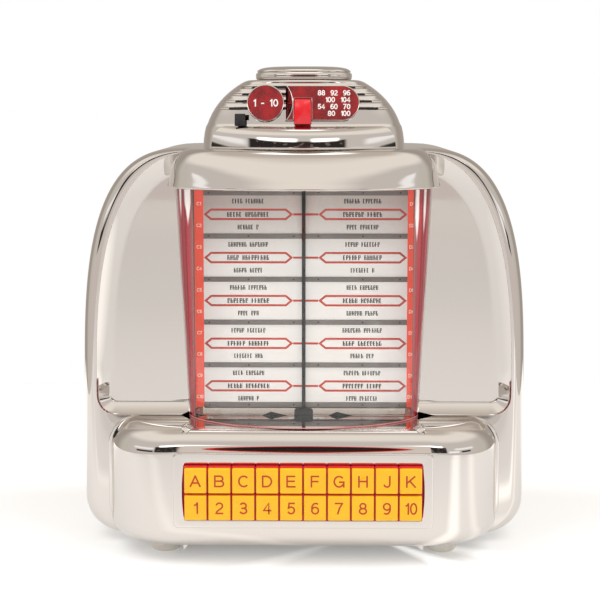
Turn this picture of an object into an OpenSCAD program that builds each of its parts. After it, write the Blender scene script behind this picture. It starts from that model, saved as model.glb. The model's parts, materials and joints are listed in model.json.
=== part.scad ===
// Tabletop jukebox radio in chromed plastic, drawn in millimetres.
// X runs to the right, Y runs to the back and Z runs up; the feet rest on Z 0.

/* [Whole radio] */
// Full width of the arch body
body_width = 288; // [240:1:340]
// Full height from the feet to the cap
full_height = 310; // [270:1:360]
// Height of the feet under the body
foot_height = 5; // [3:0.5:10]
// Height of the flat top of the arch body
body_top = 257.7; // [230:0.1:290]
// Front plane of the rim around the body
rim_front = -36; // [-45:0.5:-25]
// Back plane of the rear cover
rear_back = 85; // [70:1:110]
// Front plane of the keys
key_front = -85; // [-95:0.5:-80]
// Wall thickness of the moulded shells
wall = 2.6; // [1.6:0.1:4]

/* [Arch outline] */
// Half width of the flat top of the arch
arch_flat = 70; // [40:1:100]
// Height where the sides start to curve in
arch_spring = 98; // [60:1:140]
// How square the shoulders are
arch_power = 3; // [2:0.05:4]
// Radius of the two bottom corners
bottom_radius = 23; // [10:1:40]
// How far the rim rounds in at the sides
rim_round_side = 9; // [3:0.5:15]
// How far the rim rounds in at the top
rim_round_top = 2; // [1:0.5:6]
// Depth over which the front of the rim rounds
rim_round_depth = 12; // [6:0.5:20]

/* [Wing panels] */
// Depth of the panels behind the rim
panel_depth = 6; // [2:0.5:10]
// Half width at which the panel outline starts to curve
panel_flat = 62; // [40:1:90]
// Half width of the panels
panel_half = 134.5; // [120:0.5:140]
// Top of the panels
panel_top = 255.2; // [240:0.1:257]
// How square the panel shoulders are
panel_power = 2.75; // [2:0.05:4]

/* [Console] */
// Half width of the console flange
flange_half = 127; // [110:0.5:135]
// Height of the flat top of the console
console_top = 84; // [70:0.5:100]
// Underside of the console
console_bottom = 8.5; // [6:0.5:12]
// Front plane of the console
console_front = -77.5; // [-85:0.5:-65]
// Height where the front starts to round back
console_edge = 66.5; // [55:0.5:80]
// Half width of the flat part of the front
console_flat = 80; // [60:1:100]
// How far the top rounds in toward the back
console_round_back = 9.5; // [4:0.5:16]
// How far the top rounds in at the sides
console_round_side = 18; // [8:1:26]
// Height of the rounding under the front
console_under = 12; // [4:0.5:20]

/* [Keyboard] */
// Width of one key
key_width = 13.5; // [10:0.1:14]
// Height of one key
key_height = 15.5; // [10:0.1:16.2]
// Distance from one key to the next
key_pitch = 14.7; // [12:0.1:18]
// Distance from the letter row to the number row
row_pitch = 16.9; // [14:0.1:20]
// Height of the middle of the keyboard
key_middle = 46.5; // [40:0.1:52]
// Travel of a key
key_travel = 2; // [1:0.1:2.2]
// Depth of the key head
key_head = 7.7; // [6:0.1:8]
// Width of the key stem
stem_width = 9; // [6:0.1:10]
// Height of the key stem
stem_height = 11; // [6:0.1:12]
// Running clearance around the key stem
stem_gap = 0.15; // [0.1:0.05:0.3]
// Width of the bezel
bezel_width = 161; // [155:0.5:170]
// Height of the bezel
bezel_height = 47.4; // [42:0.1:52]
// Height of the bezel opening
bezel_opening = 35; // [34:0.1:38]
// Half width of the bezel opening in the middle of its sides
bezel_bow = 74.7; // [73.6:0.1:76]

/* [Window and pages] */
// Half width of the window at its foot
window_half_low = 75; // [70:0.5:80]
// Half width of the window at its top
window_half_high = 83; // [76:0.5:88]
// Front of the window at its foot
window_front_low = -71; // [-74:0.5:-60]
// Front of the window at its top
window_front_high = -73; // [-76:0.5:-64]
// Top edge of the window inside the hood
window_top = 236; // [232:0.5:244]
// Thickness of the clear plastic
window_wall = 2; // [1.2:0.1:3]
// Half width of the title board
title_half = 70.6; // [66:0.1:71]
// Half width of one card row measured from the middle
card_half = 64.5; // [60:0.1:66]
// Lower edge of the cards
card_foot = 88; // [86:0.5:92]
// Height of the lowest page bar
bar_foot = 90; // [89:0.1:92]
// Distance between page bars
bar_pitch = 27.45; // [25:0.05:30]
// Height of one page bar
bar_height = 3.2; // [2:0.1:4]
// Diameter of the page rod
rod_diameter = 2.4; // [1.6:0.1:4]

/* [Hood] */
// Half width of the hood at the lip
hood_half = 87.8; // [84:0.1:92]
// Height of the lip
hood_lip = 231.5; // [226:0.5:236]
// Front of the lip
hood_front = -80; // [-84:0.5:-76]
// How square the plan of the hood is
hood_power = 2.3; // [2:0.05:3]

/* [Crown] */
// Half width of the crown at its foot
crown_half = 65.8; // [55:0.1:75]
// Height of the ellipse that shapes the crown
crown_rise = 53.5; // [48:0.1:60]
// Front of the crown at its foot
crown_front = -60; // [-64:0.5:-56]
// Back of the crown at its foot
crown_back = 34; // [20:1:50]
// Lean of the crown front per millimetre of height
crown_lean = 0.18; // [0.1:0.01:0.3]
// Height of the first rib groove
rib_start = 277.4; // [274:0.1:280]
// Distance between the rib grooves
rib_pitch = 4.85; // [4:0.05:6]
// Depth of the rib grooves
rib_depth = 1.2; // [0.6:0.1:2]
// Half width of the cap
cap_half = 32.2; // [26:0.1:40]
// Half width of the apron
apron_half = 57.7; // [50:0.1:62]
// Front of the apron
apron_front = -69; // [-74:0.5:-64]
// Top of the apron
apron_top = 271.8; // [266:0.1:274]
// Diameter of the coin disc
disc_diameter = 23.2; // [18:0.1:26]

/* [Rear] */
// Half width of the control pocket
pocket_half = 62; // [50:1:80]
// Depth of the control pocket
pocket_depth = 12; // [8:0.5:16]
// Diameter of the two rear knobs
knob_diameter = 22; // [16:0.5:28]
// Distance of the knobs from the middle
knob_offset = 42; // [34:1:50]
// Height of the rear controls
control_height = 50; // [44:1:60]
// Distance of the speakers from the middle
speaker_offset = 62; // [50:1:75]
// Height of the speakers
speaker_height = 160; // [130:1:190]
// Diameter of the speaker frame
speaker_diameter = 78; // [60:1:90]

/* [Hidden] */
$fn = 64;

body_half = body_width / 2;
cover_front = 74;
panel_front = rim_front + panel_depth;
board_front = panel_front - 1.4;
card_front = board_front - 0.3;
bar_front = card_front - 1;
body_middle = (body_top + foot_height) / 2;
console_inner = console_front + wall;
guide_back = console_inner + 2.5;
mat_front = console_inner + 9.7;
board_key = mat_front + 1.2;
pocket_floor = rear_back - pocket_depth;
key_row_low = key_middle - row_pitch / 2;
screw_spots = [[134, 40], [134, 130], [117, 218], [-134, 40], [-134, 130], [-117, 218]];
key_row_high = key_middle + row_pitch / 2;
crown_foot = body_top;
ledge = rib_start - rib_pitch;

// Rounded power curve that the arch and the panels share.
function power_curve(angle, power) =
  [pow(cos(angle), 2 / power), pow(sin(angle), 2 / power)];
function mirrored(points) =
  concat(points, [for (i = [len(points) - 1:-1:0]) [-points[i][0], points[i][1]]]);

function arch_right(step) = concat(
  [for (a = [-90:15:0]) [body_half - bottom_radius + bottom_radius * cos(a),
    foot_height + bottom_radius + bottom_radius * sin(a)]],
  [for (a = [0:step:90]) let (p = power_curve(a, arch_power))
    [arch_flat + (body_half - arch_flat) * p[0], arch_spring + (body_top - arch_spring) * p[1]]]);
function arch(inset_side, inset_top) = [for (p = mirrored(arch_right(6)))
  [p[0] * (body_half - inset_side) / body_half,
    body_middle + (p[1] - body_middle) * (body_top - body_middle - inset_top) / (body_top - body_middle)]];
function panel_outline() = mirrored(concat(
  [[panel_half - 7, console_top], [panel_half - 3, console_top + 1.6], [panel_half - 0.6, console_top + 5]],
  [for (a = [0:6:90]) let (p = power_curve(a, panel_power))
    [panel_flat + (panel_half - panel_flat) * p[0], arch_spring + (panel_top - arch_spring) * p[1]]]));

// Extrudes a front view outline from one depth to another.
module upright(from, to) {
  translate([0, to, 0])
    rotate([90, 0, 0])
      linear_extrude(to - from)
        children();
}

// Rings of points for a skinned solid: level rings rise in Z, upright rings come forward in Y.
function level(at, points) = [for (p = points) [p[0], p[1], at]];
function upright_ring(at, points) = [for (p = points) [p[0], at, p[1]]];

// Skins a row of rings that all have the same number of points.
module skin(rings) {
  count = len(rings[0]);
  last = len(rings) - 1;
  polyhedron(
    points = [for (ring = rings) for (p = ring) p],
    faces = concat(
      [[for (j = [0:count - 1]) j]],
      [[for (j = [count - 1:-1:0]) last * count + j]],
      [for (i = [0:last - 1], j = [0:count - 1])
        [i * count + j, (i + 1) * count + j, (i + 1) * count + (j + 1) % count]],
      [for (i = [0:last - 1], j = [0:count - 1])
        [i * count + j, (i + 1) * count + (j + 1) % count, i * count + (j + 1) % count]]));
}

module rounded(width, height, radius) {
  square([width, height - 2 * radius], center = true);
  square([width - 2 * radius, height], center = true);
  for (x = [-1, 1], y = [-1, 1])
    translate([x * (width / 2 - radius), y * (height / 2 - radius)])
      circle(radius, $fn = 32);
}

module arch_block() {
  skin(concat(
    [upright_ring(cover_front, arch(0, 0))],
    [for (a = [0:22.5:90]) upright_ring(rim_front + rim_round_depth * (1 - sin(a)),
      arch(rim_round_side * (1 - cos(a)), rim_round_top * (1 - cos(a))))]));
}

module body_shell() {
  color("silver")
    difference() {
      union() {
        difference() {
          arch_block();
          upright(panel_front + wall, cover_front + 1)
            polygon(arch(wall, wall));
          upright(rim_front + wall, panel_front + wall + 1)
            translate([0, 43])
              rounded(2 * (body_half - 16), 62, 16);
          upright(rim_front - 1, panel_front)
            polygon(panel_outline());
          upright(rim_front - 1, panel_front)
            translate([-78, console_top])
              square([156, 200]);
          upright(rim_front - 1, panel_front)
            translate([-80.4, 251])
              square([160.8, body_top - 252.8]);
        }
        for (x = [-1, 1], y = [4, 52])
          translate([x * 66, y, foot_height + 1])
            cylinder(d = 8, h = 15);
        for (x = [-1, 1])
          translate([x * 45, 40, body_top - 12.4])
            cylinder(d = 7, h = 11);
        for (x = [-1, 1], z = [116, 200])
          upright(panel_front + 1, panel_front + wall + 5)
            translate([x * 67.5, z])
              circle(3.5);
        for (spot = screw_spots)
          upright(cover_front - 22, cover_front - 2)
            translate(spot) {
              circle(4.5);
              rotate(spot[1] > 200 ? (spot[0] > 0 ? 30 : 150) : (spot[0] > 0 ? 0 : 180))
                translate([0, -3.5])
                  square([spot[1] > 200 ? 12 : 8.6, 7]);
            }
      }
      upright(rim_front - 1, panel_front + wall + 1)
        translate([0, 45])
          rounded(216, 50, 8);
      upright(rim_front - 1, panel_front + wall + 1)
        translate([0, 158])
          rounded(126, 126, 6);
      translate([-38, -26, body_top - 8])
        cube([76, 44, 20]);
      for (x = [-1, 1], y = [4, 52])
        translate([x * 66, y, foot_height + wall + 2])
          cylinder(d = 2.6, h = 20);
      for (x = [-1, 1], z = [116, 200])
        upright(panel_front + wall, panel_front + wall + 6)
          translate([x * 67.5, z])
            circle(1.2);
      for (spot = screw_spots)
        upright(cover_front - 18, cover_front)
          translate(spot)
            circle(1.4);
    }
}

module cover_outside() {
  skin(concat(
    [for (a = [90:-22.5:0]) upright_ring(rear_back - 8 + 8 * sin(a),
      arch(8 * (1 - cos(a)), 8 * (1 - cos(a))))],
    [upright_ring(cover_front, arch(0, 0))]));
}

module cover_inside() {
  skin([
    upright_ring(rear_back - wall, arch(wall + 5, wall + 5)),
    upright_ring(rear_back - 6, arch(wall + 0.6, wall + 0.6)),
    upright_ring(cover_front - 1, arch(wall, wall))]);
}

module rear_cover() {
  color("silver")
    difference() {
      union() {
        difference() {
          cover_outside();
          cover_inside();
        }
        difference() {
          upright(cover_front - 5, rear_back - 4)
            polygon(arch(wall + 0.3, wall + 0.3));
          upright(cover_front - 6, rear_back - 3)
            polygon(arch(wall + 2.1, wall + 2.1));
          for (spot = screw_spots)
            upright(cover_front - 7, cover_front)
              translate(spot * 1.03)
                square([20, 20], center = true);
        }
        upright(pocket_floor - 2.4, rear_back - 1)
          translate([0, control_height])
            rounded(2 * pocket_half + 5, 43, 6);
        for (spot = screw_spots)
          upright(cover_front - 2, rear_back - 1)
            translate(spot)
              circle(4.5);
      }
      upright(pocket_floor, rear_back + 1)
        translate([0, control_height])
          rounded(2 * pocket_half, 38, 4);
      for (x = [-1, 1])
        upright(pocket_floor - 3, pocket_floor + 1)
          translate([x * knob_offset, control_height])
            circle(4);
      upright(pocket_floor - 3, pocket_floor + 1)
        translate([-12, control_height])
          circle(4.4);
      upright(pocket_floor - 3, pocket_floor + 1)
        translate([12, control_height])
          circle(3.2);
      for (side = [-1, 1], i = [-5:5])
        upright(rear_back - 4, rear_back + 1)
          translate([side * speaker_offset, speaker_height + i * 5.6])
            square([2 * sqrt(31 * 31 - i * i * 5.6 * 5.6 * 0.96), 2.8], center = true);
      for (spot = screw_spots) {
        upright(cover_front - 3, rear_back + 1)
          translate(spot)
            circle(1.7);
        upright(cover_front + 2, rear_back + 1)
          translate(spot)
            circle(3.4);
      }
    }
}

// Plan of the console with its elliptical corners.
function console_plan(inset_side, inset_front, back) = mirrored(concat(
  [for (a = [90:-9:0])
    [console_flat - inset_side * 0.5 + (flange_half - 2.4 - console_flat - inset_side * 0.5) * cos(a),
      rim_front - 2.5 + (console_front - rim_front + 2.5 + inset_front) * sin(a)]],
  [[flange_half - 2.4 - inset_side, back]]));

module console_block(shrink, back) {
  skin(concat(
    [for (a = [90:-22.5:0]) level(console_bottom + shrink + (console_under - shrink) * (1 - sin(a)),
      console_plan(shrink + 15 * (1 - cos(a)), shrink + 12 * (1 - cos(a)), back))],
    [for (a = [0:15:90]) level(console_edge + (console_top - console_edge - shrink) * sin(a),
      console_plan(shrink + console_round_side * (1 - cos(a)),
        shrink + console_round_back * (1 - cos(a)), back))]));
}

module console_flange() {
  upright(rim_front - 2.5, rim_front)
    union() {
      translate([0, 34.5])
        rounded(2 * flange_half, 58, 23);
      translate([0, 62])
        rounded(2 * flange_half, 44, 19);
    }
}

module console_shell() {
  color("silver")
    difference() {
      union() {
        difference() {
          union() {
            console_block(0, rim_front);
            console_flange();
            for (x = [-1, 1])
              translate([x * 88.7, -47, foot_height])
                cylinder(d = 21, h = 6);
          }
          console_block(wall, rim_front + 1);
        }
        for (x = [-1, 1], z = [-1, 1])
          upright(console_inner - 0.5, board_key)
            translate([x * 79, key_middle + z * 20])
              circle(3);
        for (x = [-1, 1], z = [22, 70])
          upright(rim_front - 9, rim_front)
            translate([x * 103, z]) {
              circle(4);
              translate([x * 10, 0])
                square([21, 2.6], center = true);
            }
      }
      upright(console_front - 1, console_inner + 1)
        translate([0, key_middle - 0.3])
          square([151, 37], center = true);
      for (x = [-1, 1], z = [-1, 1])
        upright(console_inner + 4, board_key + 1)
          translate([x * 79, key_middle + z * 20])
            circle(1);
      for (x = [-1, 1], z = [22, 70])
        upright(rim_front - 8, rim_front + 1)
          translate([x * 103, z])
            circle(1.3);
    }
}

module key_bezel() {
  color("silver")
    upright(console_front - 1.5, console_front)
      difference() {
        translate([0, key_middle + 0.5])
          rounded(bezel_width, bezel_height, 3);
        translate([0, key_middle - 0.3])
          intersection() {
            square([bezel_width - 6, bezel_opening], center = true);
            translate([bezel_bow - 110, 0])
              circle(110, $fn = 180);
            translate([110 - bezel_bow, 0])
              circle(110, $fn = 180);
          }
      }
}

function key_place(column, row) =
  [(column - 4.5) * key_pitch, row == 0 ? key_row_high : key_row_low];

module each_key() {
  for (column = [0:9], row = [0:1])
    translate(key_place(column, row))
      children();
}

module key_guide() {
  color("firebrick")
    upright(console_inner, guide_back)
      difference() {
        translate([0, key_middle - 0.1])
          rounded(156, 39.6, 2);
        each_key()
          square([stem_width + 2 * stem_gap, stem_height + 2 * stem_gap], center = true);
        for (x = [-1, 1], z = [-1, 1])
          translate([x * 79, key_middle + z * 20])
            circle(3.1);
      }
}

module key_dome_mat() {
  color("gainsboro") {
    upright(mat_front, board_key)
      translate([0, key_middle])
        rounded(150, 38, 3);
    for (column = [0:9], row = [0:1])
      translate([key_place(column, row)[0], mat_front + 0.1, key_place(column, row)[1]])
        rotate([90, 0, 0])
          cylinder(d1 = 8.4, d2 = 5.2, h = 3.1, $fn = 32);
  }
}

module key_circuit_board() {
  color("darkgreen") {
    upright(board_key, board_key + 1.6)
      difference() {
        translate([0, key_middle])
          rounded(168, 47, 2);
        for (x = [-1, 1], z = [-1, 1])
          translate([x * 79, key_middle + z * 20])
            circle(1.2);
      }
    upright(board_key + 1.6, board_key + 8)
      translate([0, key_middle])
        square([34, 9], center = true);
  }
}

module selection_key(column, row) {
  translate([key_place(column, row)[0], 0, key_place(column, row)[1]]) {
    color("orange") {
      upright(key_front, key_front + 0.6)
        rounded(key_width - 1, key_height - 1, 0.8);
      upright(key_front + 0.6, key_front + 2.2)
        rounded(key_width, key_height, 0.8);
    }
    color("firebrick") {
      upright(key_front + 2.2, key_front + key_head)
        rounded(key_width, key_height, 0.8);
      upright(key_front + key_head, guide_back + 0.4)
        square([stem_width, stem_height], center = true);
      upright(guide_back + 0.3, guide_back + 1.6)
        square([11.4, 13.4], center = true);
      upright(guide_back + 1.6, mat_front - 3.1)
        circle(2.4);
    }
  }
}

module key_a() { selection_key(0, 0); }
module key_b() { selection_key(1, 0); }
module key_c() { selection_key(2, 0); }
module key_d() { selection_key(3, 0); }
module key_e() { selection_key(4, 0); }
module key_f() { selection_key(5, 0); }
module key_g() { selection_key(6, 0); }
module key_h() { selection_key(7, 0); }
module key_j() { selection_key(8, 0); }
module key_k() { selection_key(9, 0); }
module key_1() { selection_key(0, 1); }
module key_2() { selection_key(1, 1); }
module key_3() { selection_key(2, 1); }
module key_4() { selection_key(3, 1); }
module key_5() { selection_key(4, 1); }
module key_6() { selection_key(5, 1); }
module key_7() { selection_key(6, 1); }
module key_8() { selection_key(7, 1); }
module key_9() { selection_key(8, 1); }
module key_10() { selection_key(9, 1); }

// Circular arc from the panel plane around the front, given by its half width and its front.
function arc_radius(half, front, back) =
  (half * half + (back - front) * (back - front)) / (2 * (back - front));
function arc_plan(half, front, back, steps) = let (
  radius = arc_radius(half, front, back),
  middle = front + radius,
  reach = back - middle < 0 ? asin(half / radius) : 180 - asin(half / radius))
  [for (i = [0:steps]) let (a = -reach + 2 * reach * i / steps)
    [radius * sin(a), middle - radius * cos(a)]];

// Half oval from the left end of its back line around the front to the right end.
function oval_plan(half, front, back, power, steps) = [for (i = [0:steps])
  let (a = 180 - 180 * i / steps, reach = back - front)
  [half * sign(cos(a)) * pow(abs(cos(a)), 2 / power), back - reach * pow(abs(sin(a)), 2 / power)]];

// Oval block of the window at full size, or drawn in for its inside.
module window_block(inset, from, to) {
  run = window_top - console_top;
  skin([for (z = [from, to]) let (t = (z - console_top) / run)
    level(z, oval_plan(window_half_low + (window_half_high - window_half_low) * t - inset,
      window_front_low + (window_front_high - window_front_low) * t + inset,
      inset == 0 ? panel_front : panel_front + 3, 2, 60))]);
}

module title_window() {
  color("lightcyan", 0.4)
    difference() {
      window_block(0, console_top, window_top);
      window_block(window_wall, console_top - 1, window_top + 1);
    }
}

module title_board() {
  color("ivory")
    upright(board_front, panel_front)
      translate([-title_half, console_top])
        square([2 * title_half, window_top - console_top]);
}

module title_page() {
  color("white")
    upright(card_front, board_front)
      translate([0.2, card_foot])
        square([card_half - 0.2, window_top - card_foot - 2]);
}

module right_title_page() { title_page(); }
module left_title_page() { mirror([1, 0, 0]) title_page(); }

module title_frame() {
  color("dimgray")
    upright(bar_front, card_front)
      union() {
        for (i = [0:5])
          translate([0, bar_foot + i * bar_pitch])
            square([2 * card_half, bar_height], center = true);
        translate([0, (bar_foot + window_top - 2) / 2])
          square([1.8, window_top - 2 - bar_foot], center = true);
        for (x = [-1, 1])
          translate([x * (card_half - 0.4), (bar_foot + window_top - 2) / 2])
            square([0.8, window_top - 2 - bar_foot], center = true);
      }
}

module index_strip() {
  color("tomato")
    upright(card_front, board_front)
      translate([card_half, card_foot])
        square([title_half - card_half - 0.3, window_top - card_foot - 2]);
}

module right_index_strip() { index_strip(); }
module left_index_strip() { mirror([1, 0, 0]) index_strip(); }

module page_rod() {
  color("black") {
    translate([0, bar_front - rod_diameter / 2, card_foot + 1])
      cylinder(d = rod_diameter, h = window_top - card_foot - 4, $fn = 32);
    upright(bar_front - rod_diameter - 0.6, board_front)
      translate([0, 86.2])
        rounded(12.2, 4.2, 2);
    upright(bar_front - rod_diameter, bar_front)
      translate([-1.2, 86.2])
        square([2.4, 4]);
  }
}

module lamp_board() {
  color("white") {
    upright(panel_front + wall + 5, panel_front + wall + 6.6)
      translate([0, 158])
        difference() {
          square([144, 118], center = true);
          for (x = [-1, 1], z = [-42, 42])
            translate([x * 67.5, z])
              circle(1.5);
        }
    for (x = [-40, -20, 0, 20, 40], z = [118, 145, 171, 198])
      upright(panel_front + wall + 3.4, panel_front + wall + 5)
        translate([x, z])
          square([3.5, 2.8], center = true);
  }
}

// Rings of the hood from its lip up: height over the lip, inset at the sides, inset in front.
hood_rings = [[0, 1.2, 1.2], [0.8, 0.3, 0.3], [1.8, 0, 0], [4, 0.6, 0.8], [8, 0.9, 2.2], [12, 1.3, 4],
  [16, 3.2, 6], [19, 5.2, 7.8], [22, 7.6, 9.8], [24, 9.6, 11.6], [25.4, 12.4, 13.4], [26.2, 17, 16]];

module hood_block(shrink, foot) {
  skin(concat(
    [level(hood_lip + foot, oval_plan(hood_half - shrink - hood_rings[0][1],
      hood_front + shrink + hood_rings[0][2], panel_front + shrink, hood_power, 40))],
    [for (r = hood_rings) if (r[0] > foot) level(hood_lip + r[0] * (1 - shrink / 26.2),
      oval_plan(hood_half - shrink - r[1], hood_front + shrink + r[2], panel_front + shrink,
        hood_power + 0.012 * r[0], 40))]));
}

module hood() {
  color("silver")
    difference() {
      hood_block(0, 0);
      hood_block(wall, -1);
      translate([-title_half - 1, panel_front - 2, hood_lip - 2])
        cube([2 * title_half + 2, 10, window_top - hood_lip + 2.5]);
      translate([-36, -50, body_top - 6])
        cube([72, 30, 10]);
    }
}

// Plan of the crown at one height, flat in front and rounded at the ends.
function crown_width(z) = crown_half * sqrt(max(0.02, 1 - pow((z - crown_foot) / crown_rise, 2)));
function crown_plan(z, inset) = let (
  half = crown_width(z) - inset,
  front = crown_front + crown_lean * (z - crown_foot) + inset,
  back = crown_back - 0.42 * (z - crown_foot) - inset,
  middle = (front + back) / 2,
  reach = (back - front) / 2)
  [for (a = [0:10:350]) [half * sign(cos(a)) * pow(abs(cos(a)), 0.52),
    middle + reach * sign(sin(a)) * pow(abs(sin(a)), 0.5)]];

module crown_block(inset, from, to) {
  skin([for (i = [0:8]) level(from + (to - from) * i / 8, crown_plan(from + (to - from) * i / 8, inset))]);
}

// Ribbed outside of the crown, stepping in and out at every groove.
module crown_outside() {
  skin(concat(
    [for (z = [crown_foot, crown_foot + 7, ledge]) level(z, crown_plan(z, 0))],
    [for (i = [0:5], step = [[-0.7, 0], [-0.4, rib_depth], [0.4, rib_depth], [0.7, 0]])
      let (z = rib_start + i * rib_pitch + step[0]) level(z, crown_plan(z, step[1]))],
    [level(303, crown_plan(303, 0))]));
}

module crown_shell() {
  color("silver")
    difference() {
      union() {
        difference() {
          crown_outside();
          crown_block(rib_depth + wall, crown_foot - 3, 300.4);
        }
        translate([-50, -51.6, 268])
          cube([20, 3, 14.4]);
        for (x = [-28, 24])
          upright(-53.5, -44)
            translate([x, 279])
              circle(3);
      }
      upright(-70, -51.6)
        translate([-38.45, 275.05])
          square([14, 11.4], center = true);
      upright(-60, -40)
        translate([-38.45, 275.05])
          square([7.2, 3.4], center = true);
      upright(-70, -40)
        translate([-0.5, 280.9])
          square([10.8, 15.8], center = true);
      for (x = [-28, 24])
        upright(-50, -43)
          translate([x, 279])
            circle(1);
      on_crown_face() {
        translate([-23.6, 0, -0.6])
          cylinder(d = disc_diameter + 0.1, h = 4);
        translate([0, 0, -0.6])
          linear_extrude(4)
            plate_outline(0.05);
      }
    }
}

function apron_ring(z, inset) =
  level(z, arc_plan(apron_half - inset, apron_front + inset, -54, 24));

module crown_apron() {
  color("silver")
    difference() {
      skin([
        apron_ring(crown_foot, 5),
        apron_ring(crown_foot + 0.8, 2.8),
        apron_ring(crown_foot + 2.2, 1.1),
        apron_ring(crown_foot + 4, 0.2),
        apron_ring(crown_foot + 5.6, 0),
        apron_ring(crown_foot + 8, 0.5),
        apron_ring(crown_foot + 11, 2.2),
        apron_ring(crown_foot + 13, 4.8),
        apron_ring(apron_top, 8)]);
      crown_block(-0.02, crown_foot - 1, rib_start);
      translate([-25, -56, crown_foot - 1])
        cube([50, 4, 3]);
    }
}

function cap_plan(half, depth) = [for (a = [0:10:350])
  [half * sign(cos(a)) * pow(abs(cos(a)), 0.6), -11 + depth * sign(sin(a)) * pow(abs(sin(a)), 0.6)]];

module crown_cap() {
  color("silver")
    skin([
      level(303, cap_plan(cap_half - 1.2, 26.8)),
      level(304.6, cap_plan(cap_half, 28)),
      level(306.6, cap_plan(cap_half - 1, 27)),
      level(308.4, cap_plan(cap_half - 4.4, 23.6)),
      level(309.5, cap_plan(cap_half - 11, 17)),
      level(full_height, cap_plan(cap_half - 20, 9))]);
}

// Frame of the leaning crown front, with its origin on the face at the coin height.
module on_crown_face() {
  translate([0, crown_front + crown_lean * 28.4, 286.1])
    rotate([-atan(crown_lean), 0, 0])
      rotate([90, 0, 0])
        children();
}

module coin_disc() {
  color("red")
    on_crown_face()
      translate([-23.6, 0, -0.6])
        cylinder(d = disc_diameter, h = 2.2);
}

// Outline of the plate, hollowed at its left end round the disc, with play all round it.
module plate_outline(play) {
  difference() {
    union() {
      translate([-10.2 - play, -11.1 - play])
        square([34 + play, 22.2 + 2 * play]);
      translate([23.8, 0])
        circle(11.1 + play);
    }
    translate([-23.6, 0])
      circle(16.6 - play);
  }
}

module dial_plate() {
  color("darkred")
    difference() {
      on_crown_face()
        translate([0, 0, -0.6])
          linear_extrude(2)
            plate_outline(0);
      upright(-70, -40)
        translate([-0.5, 280.9])
          square([10.8, 15.8], center = true);
    }
}

module select_button() {
  color("red") {
    upright(-64.5, -49)
      translate([-0.5, 280.9])
        rounded(10.2, 15.2, 0.6);
    upright(-50.2, -49)
      translate([-0.5, 280.9])
        square([14, 18.6], center = true);
    upright(-49, -47.2)
      translate([-0.5, 280.9])
        circle(2);
  }
}

module light_slider() {
  color("black") {
    upright(-57.5, -51.9)
      translate([-39.7, 275.75])
        rounded(6.8, 6.9, 0.6);
    upright(-51.9, -45)
      translate([-39.7, 275.05])
        square([4.2, 3], center = true);
  }
}

module head_switches() {
  color("darkgreen") {
    upright(-44, -42.4)
      difference() {
        translate([-4.8, 275.5])
          square([81.6, 17], center = true);
        for (x = [-28, 24])
          translate([x, 279])
            circle(1.2);
      }
    upright(-45.1, -44)
      translate([-0.5, 280.9])
        square([6, 6], center = true);
    upright(-48, -44)
      difference() {
        translate([-38.45, 275.05])
          square([14, 8], center = true);
        translate([-38.45, 275.05])
          square([7.4, 3.6], center = true);
      }
  }
}

module speaker_frame() {
  translate([speaker_offset, rear_back - wall, speaker_height])
    rotate([90, 0, 0])
      color("dimgray")
        rotate_extrude()
          union() {
            polygon([[32, 0], [speaker_diameter / 2, 0], [speaker_diameter / 2, 2.4], [36, 2.4],
              [21, 17], [21, 19], [12, 19], [12, 17], [17, 15], [32, 2]]);
            translate([0, 19])
              square([22, 12]);
            translate([0, 15])
              square([10, 5]);
          }
}

module speaker_cone() {
  translate([speaker_offset, rear_back - wall, speaker_height])
    rotate([90, 0, 0])
      color("black")
        rotate_extrude()
          polygon([[0, 8], [9, 9.5], [30, 0.6], [32, 0.6], [32, 1.2], [30.4, 1.4], [11, 10.6],
            [11, 16.5], [10.2, 16.5], [10.2, 10.4], [0, 8.8]]);
}

module right_speaker_frame() { speaker_frame(); }
module left_speaker_frame() { mirror([1, 0, 0]) speaker_frame(); }
module right_speaker_cone() { speaker_cone(); }
module left_speaker_cone() { mirror([1, 0, 0]) speaker_cone(); }

module main_circuit_board() {
  color("darkgreen") {
    translate([0, 0, foot_height + 16])
      linear_extrude(1.6)
        difference() {
          translate([-75, -4])
            square([150, 62]);
          for (x = [-1, 1], y = [4, 52])
            translate([x * 66, y])
              circle(1.5);
        }
    translate([-50, 20, foot_height + 17.6])
      cube([24, 14, 12]);
    for (x = [-10, 4, 18])
      translate([x, 14, foot_height + 17.6])
        cylinder(d = 10, h = 16, $fn = 32);
    translate([34, 30, foot_height + 17.6])
      cube([16, 16, 3]);
  }
}

module rear_knob() {
  translate([knob_offset, 0, control_height]) {
    upright(pocket_floor + 0.4, pocket_floor + 9.4)
      difference() {
        circle(knob_diameter / 2);
        for (a = [0:20:340])
          rotate(a)
            translate([knob_diameter / 2 + 0.5, 0])
              circle(1.1, $fn = 24);
      }
    upright(pocket_floor - 11, pocket_floor + 0.4)
      circle(3);
  }
}

module volume_knob() { color("black") mirror([1, 0, 0]) rear_knob(); }
module tuning_knob() { color("black") rear_knob(); }

module volume_control() {
  color("gray")
    translate([-knob_offset, 0, control_height])
      upright(pocket_floor - 12.4, pocket_floor - 2.4)
        difference() {
          circle(8.5);
          circle(3.05);
        }
}

module tuning_capacitor() {
  color("gray")
    translate([knob_offset, 0, control_height])
      upright(pocket_floor - 16.4, pocket_floor - 2.4)
        difference() {
          square([20, 20], center = true);
          circle(3.05);
        }
}

module power_jack() {
  color("black")
    translate([-12, 0, control_height]) {
      upright(pocket_floor - 13, pocket_floor - 2.4)
        difference() {
          square([9, 11], center = true);
          circle(2.9);
        }
      upright(pocket_floor - 2.4, pocket_floor)
        difference() {
          circle(4.4);
          circle(2.9);
        }
      upright(pocket_floor - 14.4, pocket_floor - 13)
        square([9, 11], center = true);
      upright(pocket_floor - 13.4, pocket_floor - 1)
        circle(1);
    }
}

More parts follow.
